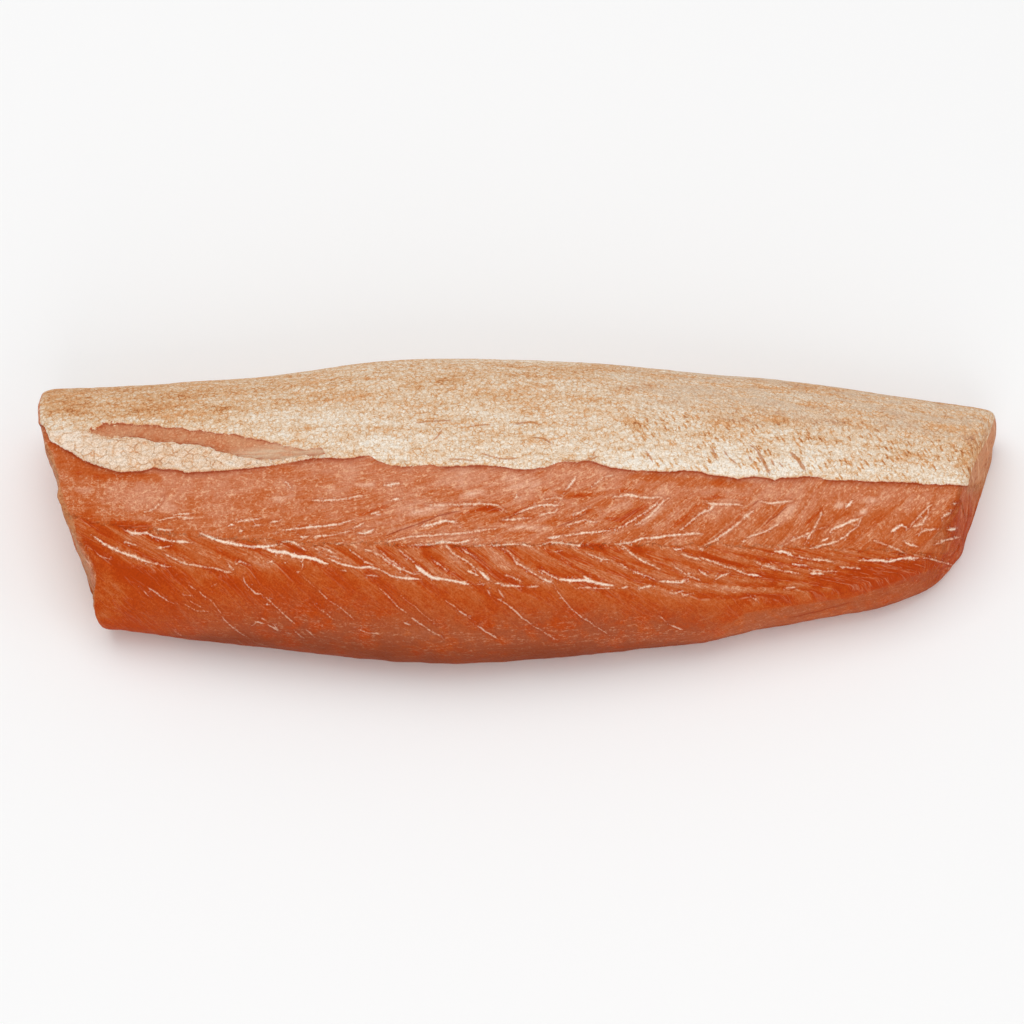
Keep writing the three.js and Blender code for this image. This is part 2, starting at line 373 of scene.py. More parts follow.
below_tips = photo_y - along(CHEVRON)
below_septum = photo_y - np.maximum(along(SEPTUM), along(CHEVRON))
above = np.maximum(-below_tips, 0)
below = np.clip(below_tips, 0, np.maximum(along(SEPTUM) - along(CHEVRON), 0))
low = np.maximum(below_septum, 0)
setback = along(SLOPE_ABOVE) * above + along(SLOPE_BELOW) * below + along(SLOPE_LOW) * low
axis = np.array(CONE_AXIS)
axis_y = np.interp(place[:, 0], axis[:, 0], axis[:, 1])
axis_z = np.interp(place[:, 0], axis[:, 0], axis[:, 2])
cone_reach = np.hypot(place[:, 1] - axis_y, place[:, 2] - axis_z)
cone_run = place[:, 0] - CONE_SETBACK * cone_reach
cone_place = PHOTO_MIDDLE + CONE_SHIFT + cone_run / MM_PER_PIXEL
sheet_place = on_front * (photo_x - setback) + (1 - on_front) * cone_place + uneven(SHEET_WANDER)
flake = sheets_before(sheet_place)
flake_share = flake - np.floor(flake)
spacing_mm = (SHEET_SPACING - SHEET_CLOSING * (sheet_place - FIRST_SHEET)) * MM_PER_PIXEL

measures["tips"] = below_tips
measures["septum"] = below_septum
measures["above"] = above
measures["upper band"] = above / UPPER_BAND_DEPTH
measures["low band"] = low / along(LOW_BAND_DEPTH)
flake_strength = (1 - zones(FLAKE_FADES)) * (1 - zones((LEFT_FADE,)) * on_front)
flake_strength = np.clip(flake_strength, LEAST_FLAKE, 1)
flake_profile = np.minimum(flake_share / FLAKE_RISE, (1 - flake_share) / (1 - FLAKE_RISE)) - 0.5

# Coordinates along and across the fibres, one pair over the tips of the flakes and one under them.
run_mm = photo_x * MM_PER_PIXEL
across_above = (climb(SLOPE_ABOVE) + below_tips) * MM_PER_PIXEL
across_below = (climb(SLOPE_BELOW) - below - low * along(SLOPE_LOW) / along(SLOPE_BELOW)) * MM_PER_PIXEL
across_hidden = FIBRE_STEP * cone_run + FIBRE_SHIFT
across_above = on_front * across_above + (1 - on_front) * across_hidden
across_below = on_front * across_below + (1 - on_front) * across_hidden

# White lines: where the sheets hold most fat they show as white strokes. Each stroke has its half
# width and then its points, in pixels of the photograph. They are grouped by their place.
WHITE_LINES = {
    "thick end": (
        (1.6, (125, 530), (133, 533), (147, 533), (154, 537), (172, 541), (192, 542)),
        (1.2, (125, 541), (136, 545)),
        (1.2, (158, 529), (172, 530)),
        (1.2, (158, 548), (171, 546)),
        (1.0, (160, 520), (174, 517), (191, 519)),
        (1.1, (173, 515), (190, 514)),
        (0.9, (146, 512), (154, 509), (160, 504), (163, 497)),
        (1.5, (93, 536), (101, 541), (113, 548), (121, 552), (131, 555), (142, 560), (152, 563)),
        (1.0, (152, 563), (168, 567)),
        (1.0, (191, 564), (203, 567), (213, 568), (226, 571)),
        (1.1, (163, 553), (177, 560), (188, 564)),
        (0.8, (95, 552), (99, 556), (111, 559)),
        (1.2, (148, 588), (156, 593), (169, 602)),
        (1.0, (199, 592), (213, 602)),
        (0.9, (188, 585), (196, 590)),
        (0.8, (190, 601), (201, 607)),
    ),
    "main septum": (
        (2.0, (201, 533), (211, 538), (220, 541), (235, 544), (251, 547), (263, 547), (281, 544)),
        (2.5, (263, 548), (277, 552), (286, 552), (295, 556), (312, 558), (320, 561), (327, 564)),
        (1.6, (328, 558), (337, 562), (346, 565), (356, 567), (368, 567), (380, 570)),
        (1.4, (330, 556), (341, 559)),
        (1.2, (366, 575), (378, 576)),
        (1.1, (340, 570), (346, 571)),
        (1.2, (283, 542), (293, 542), (306, 550)),
        (1.0, (313, 546), (322, 552)),
        (1.2, (319, 546), (334, 553)),
        (0.9, (351, 551), (363, 560), (372, 565)),
        (1.0, (366, 549), (380, 555)),
        (1.3, (337, 544), (343, 542)),
        (1.0, (303, 559), (302, 569)),
        (1.0, (236, 564), (240, 561), (250, 565)),
        (0.6, (228, 563), (234, 572)),
        (0.8, (223, 571), (230, 572)),
    ),
    "low left": (
        (1.3, (243, 576), (245, 582), (252, 590), (256, 593), (262, 594)),
        (0.8, (252, 583), (259, 591)),
        (0.9, (262, 594), (273, 604), (285, 615), (297, 625)),
        (1.0, (295, 631), (304, 638)),
        (1.0, (305, 629), (317, 639)),
        (1.0, (220, 615), (233, 627), (250, 639)),
        (0.9, (318, 590), (327, 598), (337, 605), (342, 608)),
        (0.7, (302, 576), (318, 590)),
        (0.7, (316, 606), (332, 618)),
        (1.0, (274, 625), (280, 631)),
        (2.0, (266, 604), (268, 604)),
        (1.3, (297, 572), (299, 572)),
        (1.3, (270, 561), (272, 561)),
        (1.3, (284, 563), (286, 563)),
    ),
    "low left hairs": (
        (0.9, (213, 602), (221, 613)),
        (0.9, (255, 642), (268, 647)),
        (0.8, (140, 587), (151, 598)),
        (0.8, (169, 602), (176, 604)),
        (0.8, (183, 595), (194, 596)),
        (0.8, (182, 603), (196, 610), (210, 612)),
        (0.8, (172, 629), (182, 635)),
        (0.8, (236, 640), (249, 648)),
        (0.9, (336, 604), (354, 619)),
        (0.9, (357, 629), (369, 633), (380, 634)),
        (0.8, (212, 586), (216, 583)),
        (0.8, (311, 600), (316, 606)),
        (1.5, (257, 621), (264, 623)),
        (1.2, (261, 617), (266, 620)),
        (1.0, (252, 625), (256, 622)),
        (1.1, (268, 624), (279, 631)),
        (0.9, (284, 632), (291, 634)),
    ),
    "upper left": (
        (1.5, (283, 530), (302, 528), (321, 526), (340, 524), (353, 520)),
        (1.2, (313, 501), (332, 500), (348, 498), (362, 496)),
        (1.3, (235, 522), (249, 520), (261, 518)),
        (1.3, (253, 526), (261, 525)),
        (1.1, (270, 522), (280, 521)),
        (2.4, (230, 525), (232, 525)),
        (1.6, (275, 533), (277, 533)),
        (1.3, (240, 531), (242, 531)),
        (1.2, (298, 534), (302, 537), (309, 536)),
        (1.1, (315, 537), (332, 535), (353, 531)),
        (1.6, (357, 533), (364, 534), (374, 530)),
        (1.3, (369, 515), (380, 512)),
        (1.0, (355, 528), (363, 523)),
        (1.2, (287, 483), (291, 488)),
    ),
    "upper middle": (
        (1.2, (426, 505), (451, 505), (467, 504), (482, 504), (497, 505), (506, 511)),
        (1.8, (421, 527), (434, 524), (445, 521), (458, 523)),
        (1.2, (388, 542), (398, 540), (410, 537), (426, 536), (451, 534), (477, 531), (497, 529)),
        (1.5, (432, 545), (441, 542), (456, 543), (472, 540)),
        (1.3, (409, 545), (431, 545), (442, 542), (458, 544)),
        (1.3, (474, 546), (483, 545)),
        (1.3, (490, 546), (510, 544), (525, 545), (531, 547)),
        (1.7, (475, 539), (477, 539)),
        (1.3, (494, 541), (496, 541)),
        (1.3, (516, 497), (518, 497)),
        (1.4, (516, 513), (528, 508), (540, 505), (560, 505)),
        (1.2, (501, 520), (516, 519), (533, 518)),
        (1.6, (386, 485), (400, 483)),
        (1.5, (393, 500), (400, 499)),
    ),
    "middle band": (
        (1.2, (380, 555), (390, 563), (400, 569), (414, 574), (421, 573)),
        (0.9, (380, 551), (389, 559), (401, 568)),
        (2.6, (416, 565), (423, 572), (433, 577), (443, 579)),
        (1.8, (443, 579), (458, 582), (470, 584)),
        (1.6, (380, 570), (390, 575), (404, 578), (419, 579)),
        (1.0, (399, 550), (408, 557), (414, 562)),
        (1.1, (445, 545), (453, 553), (468, 562), (480, 572)),
        (2.0, (480, 572), (490, 580)),
        (1.0, (462, 549), (475, 558)),
        (1.2, (469, 571), (478, 575)),
        (0.7, (434, 560), (446, 570)),
        (1.1, (500, 548), (508, 551), (514, 557), (516, 562), (523, 566), (531, 572), (540, 577)),
        (0.8, (506, 575), (521, 581)),
        (1.6, (495, 583), (502, 583)),
        (1.3, (478, 584), (484, 584)),
        (1.3, (502, 585), (522, 586)),
        (1.2, (527, 587), (538, 586)),
    ),
    "middle right": (
        (1.2, (540, 545), (550, 542), (569, 544), (579, 546), (582, 542)),
        (1.8, (548, 538), (560, 536)),
        (1.4, (560, 536), (583, 533), (597, 532), (615, 530)),
        (1.5, (613, 544), (632, 542), (644, 538), (657, 537), (673, 535), (700, 534)),
        (1.4, (568, 525), (585, 520), (594, 522)),
        (1.2, (575, 515), (588, 508)),
        (1.2, (540, 515), (555, 512), (559, 507)),
        (1.0, (593, 486), (603, 478), (613, 475)),
        (1.6, (566, 491), (575, 479)),
        (1.3, (614, 497), (629, 495), (642, 498), (662, 497)),
        (1.0, (616, 530), (632, 521), (647, 511), (660, 500)),
        (1.2, (636, 525), (650, 516), (659, 506), (668, 499)),
        (1.3, (679, 531), (688, 524), (700, 513), (710, 510), (716, 503)),
        (1.0, (546, 499), (562, 498)),
        (1.7, (675, 549), (683, 549)),
        (1.1, (586, 553), (593, 556), (601, 559), (611, 560)),
        (1.1, (619, 563), (627, 568), (637, 573), (648, 576), (657, 581)),
        (1.2, (622, 546), (631, 553), (640, 560), (652, 565), (659, 569)),
        (1.0, (540, 570), (550, 575), (560, 580)),
        (2.2, (560, 579), (573, 581), (586, 580), (597, 583), (613, 585)),
        (1.6, (540, 578), (552, 582)),
        (1.8, (584, 576), (591, 580)),
        (0.9, (574, 588), (597, 588), (613, 588)),
        (1.3, (622, 587), (628, 587)),
        (1.2, (639, 588), (652, 586)),
        (1.6, (658, 581), (671, 582), (681, 582), (687, 579)),
        (1.0, (671, 593), (680, 592), (683, 596), (691, 594)),
        (1.0, (681, 554), (700, 560)),
        (0.9, (673, 565), (683, 572), (700, 581)),
        (1.3, (558, 551), (560, 551)),
        (1.3, (688, 573), (691, 573)),
    ),
    "right": (
        (1.3, (706, 503), (716, 504), (741, 505)),
        (1.3, (762, 501), (771, 503), (792, 501)),
        (1.3, (706, 544), (718, 538), (731, 529), (743, 519), (753, 511)),
        (1.3, (748, 537), (761, 533), (770, 529), (778, 524)),
        (1.1, (821, 510), (820, 517), (814, 528), (808, 537), (805, 543)),
        (0.9, (782, 546), (792, 540), (807, 534), (817, 529), (826, 527)),
        (1.5, (829, 533), (833, 529), (843, 525), (851, 521), (860, 518)),
        (1.2, (838, 541), (848, 534), (857, 526), (861, 518)),
        (1.5, (822, 541), (828, 538)),
        (2.0, (846, 507), (852, 501)),
        (1.2, (812, 548), (822, 545), (836, 542)),
        (1.2, (700, 558), (712, 561), (724, 566), (737, 570), (747, 574)),
        (1.9, (747, 574), (758, 576)),
        (2.0, (776, 551), (785, 552), (792, 555)),
        (0.9, (794, 556), (809, 559), (835, 561)),
        (1.4, (770, 553), (772, 553)),
        (1.5, (742, 541), (744, 541)),
        (1.3, (700, 549), (702, 549)),
        (1.5, (794, 564), (806, 566)),
        (1.4, (811, 573), (823, 573)),
        (0.8, (812, 570), (835, 571)),
        (1.2, (841, 567), (860, 569)),
        (1.3, (716, 579), (721, 575), (729, 573)),
        (1.8, (700, 571), (706, 574)),
        (1.0, (756, 562), (775, 569), (798, 574)),
        (1.0, (785, 588), (796, 587)),
        (0.7, (748, 595), (757, 601)),
    ),
    "thin end": (
        (1.8, (891, 532), (901, 525), (907, 528)),
        (1.0, (910, 526), (919, 516), (926, 509), (931, 505)),
        (1.2, (929, 508), (928, 515), (922, 524), (913, 526)),
        (2.0, (953, 503), (955, 503)),
        (1.2, (941, 519), (950, 511)),
        (1.8, (948, 530), (955, 528)),
        (1.2, (918, 534), (925, 530), (935, 529)),
        (1.2, (935, 544), (942, 540), (960, 537)),
        (1.7, (860, 561), (871, 560), (886, 561), (901, 559), (919, 558)),
        (0.9, (924, 557), (938, 561), (952, 565)),
        (1.0, (875, 541), (886, 545), (897, 549), (905, 554)),
        (1.2, (904, 542), (911, 545), (918, 546)),
    ),
    "low band": (
        (1.0, (380, 589), (390, 598), (400, 608), (410, 615)),
        (1.3, (412, 618), (424, 626)),
        (0.9, (424, 626), (443, 638)),
        (0.7, (399, 595), (414, 606), (429, 619), (437, 625)),
        (0.8, (445, 600), (458, 610)),
        (1.4, (458, 610), (467, 616)),
        (0.9, (467, 616), (476, 622)),
        (1.3, (476, 625), (487, 632), (497, 638)),
        (1.2, (488, 590), (491, 596)),
        (1.2, (498, 589), (504, 598)),
        (1.2, (496, 598), (508, 605), (518, 613), (531, 624)),
        (0.9, (531, 624), (540, 630), (558, 640)),
        (1.3, (404, 623), (411, 625)),
        (1.1, (555, 587), (562, 597), (570, 607), (581, 616), (595, 626)),
        (0.8, (595, 626), (611, 636)),
        (0.8, (658, 615), (666, 622)),
        (1.3, (670, 625), (683, 629)),
    ),
}

# Crevices: gaps where two flakes part, sunk a little and painted dark red as shade. They are given in the
# same way.
CREVICES = {
    "upper flakes": (
        (1.3, (380, 538), (400, 530), (421, 523), (441, 515), (460, 511)),
        (1.0, (499, 522), (513, 515), (525, 512)),
        (1.0, (558, 527), (574, 520), (589, 512)),
        (1.0, (765, 525), (788, 506)),
        (1.0, (752, 505), (758, 501)),
    ),
    "lower crease": (
        (1.0, (788, 619), (802, 615), (822, 610), (853, 602)),
    ),
}

# Gaps: broad deep orange hollows where one flake dips under the next, given in the same way.
GAPS = {
    "middle band": (
        (1.6, (384, 558), (398, 566)),
        (1.8, (400, 552), (414, 561), (428, 570)),
        (1.8, (396, 546), (415, 546), (437, 547)),
        (1.8, (420, 551), (434, 562), (448, 572), (462, 579)),
        (2.2, (450, 546), (466, 549), (475, 558), (484, 567), (496, 577), (515, 583)),
        (1.6, (488, 546), (501, 548), (511, 557), (522, 567), (536, 576)),
        (2.0, (539, 567), (549, 574), (559, 578)),
        (2.4, (541, 547), (553, 555), (568, 563), (580, 571), (597, 578), (611, 582)),
        (2.6, (579, 547), (591, 545), (611, 547), (622, 552)),
        (1.6, (612, 557), (630, 568), (643, 575), (656, 581)),
        (2.6, (627, 547), (646, 555), (663, 565), (677, 573)),
        (2.0, (700, 552), (720, 560), (745, 567)),
        (2.0, (760, 560), (785, 566), (810, 568)),
    ),
    "upper band": (
        (1.8, (360, 515), (376, 509), (389, 505)),
        (1.6, (456, 515), (485, 508), (502, 510)),
        (1.4, (502, 522), (517, 512), (538, 500)),
        (1.4, (565, 520), (591, 510)),
        (1.8, (560, 497), (591, 495), (621, 491), (643, 491)),
        (2.6, (606, 519), (621, 520), (634, 513), (646, 505), (659, 499)),
        (1.4, (606, 531), (618, 528), (632, 521), (646, 512), (660, 502)),
        (1.8, (671, 528), (683, 519), (694, 509), (701, 503)),
        (2.0, (698, 498), (714, 497), (729, 496), (751, 500)),
        (1.6, (720, 535), (731, 526), (741, 515), (752, 505)),
        (1.8, (764, 527), (774, 516), (785, 505)),
        (1.4, (806, 524), (822, 508)),
    ),
}

# Creases: brown folds and scratches of the membrane, given in the same way.
CREASES = {
    "folds": (
        (0.9, (417, 423), (435, 421), (451, 421)),
        (1.0, (434, 440), (442, 431)),
        (0.8, (469, 426), (481, 425), (491, 425)),
        (1.0, (515, 424), (531, 422), (540, 425)),
        (1.0, (534, 438), (543, 439), (552, 445)),
        (0.8, (448, 460), (463, 460), (475, 462)),
        (0.9, (481, 454), (498, 459), (517, 460)),
        (0.9, (560, 461), (584, 462), (592, 458), (596, 450)),
        (1.1, (583, 463), (590, 461), (598, 457)),
    ),
    "scratches": (
        (1.0, (749, 445), (757, 451)),
        (2.0, (757, 451), (762, 460), (769, 474)),
        (2.6, (791, 454), (798, 461), (804, 470)),
        (1.3, (712, 449), (716, 460)),
        (1.2, (724, 452), (727, 456)),
        (1.3, (646, 452), (652, 462)),
        (1.3, (731, 460), (735, 464)),
        (1.3, (749, 458), (751, 462)),
        (1.2, (771, 461), (774, 466)),
        (1.2, (779, 464), (782, 467)),
    ),
}
STROKE_REACH = 7.0
STROKE_CORE = 2.7
STROKE_FADE = 2
STROKE_ROOM = 9.0
STROKE_LAYERS = 4
STROKE_SAMPLES = 8
STROKE_WANDER = 1.0
TAPER_RATE = 5
TAPER_END = 0.4
FAR_AWAY = -1000.0


def layered(groups):
    """Spreads strokes over layers, so that no two strokes of a layer lie close together."""
    layers = [[] for _ in range(STROKE_LAYERS)]
    taken = [np.full((1, 2), FAR_AWAY) for _ in range(STROKE_LAYERS)]
    for stroke in (stroke for group in groups.values() for stroke in group):
        line = np.array(stroke[1:], dtype=float)
        stops = np.linspace(0, len(line) - 1, STROKE_SAMPLES * len(line))
        samples = np.stack([np.interp(stops, np.arange(len(line)), line[:, i]) for i in (0, 1)], 1)
        rooms = [np.min(np.hypot(*(samples[:, None] - other[None]).transpose(2, 0, 1))) for other in taken]
        free = [i for i, room in enumerate(rooms) if room > STROKE_ROOM]
        layer = free[0] if free else int(np.argmax(rooms))
        layers[layer].append(stroke)
        taken[layer] = np.concatenate((taken[layer], samples))
    return [layer for layer in layers if layer]


def strokes(lines):
    """The signed distance to the nearest stroke, and that stroke's half width there, in pixels."""
    nearest = np.full(count, STROKE_REACH)
    width = np.full(count, -STROKE_REACH)
    for half_width, *points in lines:
        line = np.array(points, dtype=float)
        lengths = np.hypot(*np.diff(line, axis=0).T)
        starts = np.concatenate(([0], np.cumsum(lengths)))
        for i, length in enumerate(lengths):
            step = (line[i + 1] - line[i]) / length
            dx = photo_x + STROKE_WANDER * bumps["grains"] - line[i, 0]
            dy = photo_y + STROKE_WANDER * bumps["beads"] - line[i, 1]
            run = dx * step[0] + dy * step[1]
            side = dx * step[1] - dy * step[0]
            inside = np.clip(run, 0, length)
            gap = np.hypot(side, run - inside)
            share = (starts[i] + inside) / starts[-1]
            taper = half_width * np.minimum(1, TAPER_RATE * np.minimum(share, 1 - share) + TAPER_END)
            nearer = (gap < np.abs(nearest)) & (facing > FRONT_TURN[0])
            nearest = np.where(nearer, np.where(side < 0, -gap, gap), nearest)
            width = np.where(nearer, taper, width)
    return nearest, width - STROKE_FADE * np.maximum(0, np.abs(nearest) - STROKE_CORE)


stroke_kinds = {"white": WHITE_LINES, "crevice": CREVICES, "gap": GAPS, "crease": CREASES}
stroke_layers = {kind: [strokes(layer) for layer in layered(groups)] for kind, groups in stroke_kinds.items()}
stroke_depth = {
    kind: np.max([width - np.abs(side) for side, width in layers], axis=0)
    for kind, layers in stroke_layers.items()
}

# Tone of the flesh, from deep orange at 0 to pale pink at 1. It falls from the lip to the low band,
# with patches where thin flesh, fat or a hollow shows.
DEEP_PATCHES = (
    (75, 462, 34, 14, 35, 0.12), (700, 482, 30, 6, 0, 0.15), (131, 526, 25, 6, 5, 0.35),
    (140, 575, 35, 10, 10, 0.25), (296, 551, 12, 4, 25, 0.4), (458, 550, 13, 5, 25, 0.2),
    (505, 554, 9, 7, 45, 0.15), (596, 547, 16, 4, 5, 0.2), (640, 549, 13, 3, 5, 0.2),
    (635, 515, 22, 9, -30, 0.2), (774, 577, 18, 6, 10, 0.3), (962, 528, 15, 38, 12, 0.34),
    (772, 598, 32, 7, 0, 0.25), (833, 584, 28, 6, -5, 0.1), (872, 576, 80, 13, -8, 0.36),
    (945, 556, 24, 14, 0, 0.06), (490, 510, 11, 4, 0, 0.35), (446, 494, 18, 7, 0, 0.2),
    (560, 492, 20, 3, 8, 0.3), (490, 522, 75, 13, 0, 0.12), (130, 477, 40, 5, 3, 0.3),
    (650, 477, 22, 4, 0, 0.2), (730, 484, 26, 4, 3, 0.2),
)
PALE_PATCHES = (
    (120, 500, 40, 16, 0, 0.1), (105, 595, 22, 32, 0, 0.27), (520, 482, 22, 8, 0, 0.26),
    (616, 508, 16, 5, -10, 0.3), (500, 562, 16, 8, 35, 0.25), (455, 563, 14, 6, 35, 0.15),
    (425, 510, 30, 5, -8, 0.32), (410, 633, 30, 7, 0, 0.2), (450, 640, 70, 14, 0, 0.08),
    (640, 628, 30, 6, 0, 0.05), (520, 527, 36, 3, 0, 0.45), (786, 514, 17, 5, -45, 0.38),
    (839, 506, 5, 4, 0, 0.5), (864, 511, 4, 3, 0, 0.5), (870, 500, 6, 3, 0, 0.4),
    (282, 498, 11, 3, -10, 0.4), (331, 489, 6, 3, -30, 0.4), (364, 485, 10, 2.5, 0, 0.4),
    (476, 494, 13, 3, -10, 0.35), (262, 621, 9, 4, 0, 0.15), (275, 560, 35, 8, 0, 0.15),
    (652, 515, 18, 3, -42, 0.35), (83, 490, 8, 4, 0, 0.3), (168, 508, 9, 5, 0, 0.3),
    (142, 518, 9, 4, 0, 0.25), (905, 500, 30, 11, 0, 0.06), (745, 589, 50, 4, 5, 0.2),
    (770, 567, 8, 3, 0, 0.35),
)
LOWER_FACET = (
    (718, 627), (733, 622), (743, 614), (761, 610), (792, 606), (822, 601), (853, 597), (900, 580),
    (960, 560),
)
# How far above the lower edge the painted shade along the bottom reaches, in pixels, at points across.
LOWER_SHADE_REACH = (
    (90, 3), (200, 10), (240, 20), (300, 28), (340, 29), (560, 24), (640, 14), (700, 4), (730, 1), (780, 1),
)
BASE_TONE = 0.53
TONE_ZONES = (
    (-0.14, ("lip", 12, 50)),
    (-0.22, ("tips", -5, 8)),
    (-0.15, ("septum", -4, 9)),
    (0.1, ("across", 340, 420), ("across", 640, 570), ("tips", 4, -8)),
    (-0.11, ("across", 820, 900)),
    (-0.05, ("across", 600, 680), ("tips", 4, -8)),
    (-0.06, ("across", 700, 800), ("septum", -4, 9)),
    (-0.07, ("across", 330, 270), ("septum", -4, 9)),
    (-0.12, ("across", 140, 80)),
    (-0.06, ("across", 350, 290), ("tips", 4, -8)),
    (-0.14, ("across", 190, 130), ("tips", 0, 20)),
)
FROST_ZONE = (("low band", 0.15, 0.8), ("across", 120, 230), ("across", 760, 680))
FACET_ZONE = (("facet", -1, 2), ("across", 710, 730))
FACET_TONE = 0.25
FACET_FROST = 0.7
PALE_SHARE = 1.25
DEEP_SHARE = 1.15
MOST_DEEP = 0.45
FLAKE_SHADE = 0.2
SHADE_ABOVE = 1.5
SHADE_BELOW = 1.8
SHADE_BELOW_RISE = 0.6
SHADE_BELOW_DROP = 1.15
SEEN_TURN = (-0.02, 0.05)
HIDDEN_TONE = 0.42
UNDERCUT_TURN = (0.1, 0.5)
UNDERCUT_DROP = 0.28
# Where the painted shade along the lower edge falls: on front faces near the bottom, away from the ends,
# fainter where they turn out of sight, and only across the middle of the loin.
LOWER_SHADE_TURN = (0.05, 0.3)
LOWER_SHADE_FACING = (-0.1, 0.2)
HIDDEN_LOWER_SHADE = 0.45
LOWER_SHADE_ZONE = (("across", 90, 220), ("across", 800, 620))
CALM_ZONES = (
    (0.6, ("septum", -4, 10)),
    (0.6, ("across", 340, 250), ("above", 0, 10)),
    (0.4, ("across", 620, 720), ("above", 0, 10)),
)

measures["lip"] = photo_y - along(MEMBRANE_EDGE)
measures["facet"] = photo_y - along(LOWER_FACET)
lower_facet = zone(FACET_ZONE) * on_front
frost = np.maximum(zone(FROST_ZONE) * on_front, FACET_FROST * lower_facet)
deep = np.minimum(patches(DEEP_PATCHES), MOST_DEEP)
pale = patches(PALE_PATCHES)
shade_below = SHADE_BELOW * smooth(flake_share, 0, SHADE_BELOW_RISE) - SHADE_BELOW_DROP
flake_shade = np.where(below_tips < 0, SHADE_ABOVE * (0.5 - flake_share), shade_below)
tone = BASE_TONE + zones(TONE_ZONES) + FACET_TONE * lower_facet
tone = tone + PALE_SHARE * pale - DEEP_SHARE * deep + FLAKE_SHADE * flake_shade * flake_strength
seen_share = np.where(place[:, 0] < 0, on_front, smooth(facing, *SEEN_TURN))
undercut = smooth(-outward[:, 1], *UNDERCUT_TURN) * (1 - end_share)
hidden_tone = HIDDEN_TONE - UNDERCUT_DROP * undercut + FLAKE_SHADE * (0.5 - flake_share) * (1 - undercut)
tone = seen_share * tone + (1 - seen_share) * hidden_tone
# Painted shade along the lower edge of the cut face, where it turns under, with a little dried edge: darkest
# at the bottom.
grime = smooth(photo_y - along(BOTTOM_EDGE) + along(LOWER_SHADE_REACH), 0, along(LOWER_SHADE_REACH))
grime *= smooth(-outward[:, 1], *LOWER_SHADE_TURN) * (1 - end_share) * zone(LOWER_SHADE_ZONE)
grime *= HIDDEN_LOWER_SHADE + (1 - HIDDEN_LOWER_SHADE) * smooth(facing, *LOWER_SHADE_FACING)
calm = np.prod([1 - amount * zone(limits) for amount, *limits in CALM_ZONES], axis=0)

# The cut ends dry out to a tan rind, which the photograph shows as a sliver at each end. The rims
# of the ends that it doesn't show have a fainter one.
LEFT_RIND = (
    (441, 46), (455, 53), (469, 57), (487, 61), (501, 64), (510, 68), (521, 75), (540, 78), (550, 82),
    (560, 86), (571, 90), (583, 91), (591, 94), (611, 95),
)
RIGHT_RIND = (
    (412, 995), (425, 991), (440, 986), (455, 977), (470, 970), (485, 966), (500, 966), (520, 967),
    (540, 966), (560, 962),
)
RIND_EDGE = (-1.5, 1.5)
LEFT_RIND_TOP = (436, 446)
RIGHT_RIND_FOOT = (512, 474)
RIND_WANDER = {"swells": 6, "lumps": 5}
HIDDEN_RIND = 0.45
HIDDEN_RIND_ZONE = (("end turn", 0.3, 0.5), ("end turn", 0.95, 0.75), ("facing", 0.0, -0.1))
RIND_STAIN = (971, 499, 10, 16)
RIND_STAIN_SHARE = 0.45

measures["end turn"] = np.abs(outward[:, 0])
left_rind = smooth(beside(LEFT_RIND) - photo_x, *RIND_EDGE) * smooth(photo_y, *LEFT_RIND_TOP)
right_rind = smooth(photo_x - beside(RIGHT_RIND), *RIND_EDGE)
right_rind *= smooth(photo_y + uneven(RIND_WANDER), *RIGHT_RIND_FOOT)
rind = np.maximum(left_rind, right_rind) * (facing > 0)
rind = np.maximum(rind, HIDDEN_RIND * zone(HIDDEN_RIND_ZONE))

# Relief, in millimetres along the surface's outward direction. A kind of stroke has its height and
# the depths inside a stroke, in pixels, where that height starts and is full.
MEMBRANE_LIP = 0.5
LIP_RISE = (-0.25, 0.35)
LIP_FALL = (14, 2)
FLAP_LIFT = 0.6
FLAKE_RELIEF = 0.35
STROKE_RELIEF = {
    "white": (0.14, -1.5, 0.8),
    "crevice": (-0.06, -2.0, 0.5),
    "gap": (-0.1, -3.0, 1.5),
    "crease": (-0.04, -2.0, 0.5),
}
HOLLOW_DEPTH = 0.14
HOLLOW_PALE = 0.6
HOLLOW_LIMITS = (-0.5, 0.4)
FLESH_UNEVEN = {"lumps": 0.22, "grains": 0.1}
MEMBRANE_UNEVEN = {"grains": 0.08}
WHOLE_UNEVEN = {"swells": 0.18}
BASE_TURN = (0.95, 0.75)

flesh_relief = FLAKE_RELIEF * flake_strength * flake_profile + uneven(FLESH_UNEVEN)
flesh_relief += HOLLOW_DEPTH * np.clip(HOLLOW_PALE * pale - deep, *HOLLOW_LIMITS)
stroke_relief = {
    kind: stroke_height * smooth(stroke_depth[kind], *stroke_edge)
    for kind, (stroke_height, *stroke_edge) in STROKE_RELIEF.items()
}
flesh_relief += stroke_relief["white"] + stroke_relief["crevice"] + stroke_relief["gap"]
membrane_relief = uneven(MEMBRANE_UNEVEN) + stroke_relief["crease"]
relief = MEMBRANE_LIP * smooth(membrane_gap, *LIP_RISE) * smooth(membrane_gap, *LIP_FALL)
relief += FLAP_LIFT * flap_share + uneven(WHOLE_UNEVEN)
relief += flesh_share * flesh_relief + on_membrane * membrane_relief
relief *= smooth(-outward[:, 2], *BASE_TURN)
moved = place + outward * relief[:, None]
moved[:, 2] = np.maximum(moved[:, 2], 0)
rounded_mesh.vertices.foreach_set("co", (moved / MM_PER_METRE).ravel())
rounded_mesh.update()

# What the loin's mesh carries at each point for its material to read.
MOSTLY_FRONT = 0.5
HIDDEN_TIPS = 1
HIDDEN_SEPTUM = -8
LOWER_FIBRE_LEVEL = 40
RING_WANDER = {"swells": 1.5, "lumps": 0.6}
TORN_EDGE = (-0.2, 0.6)
RAGGED_END = (102, 432, 30, 13)

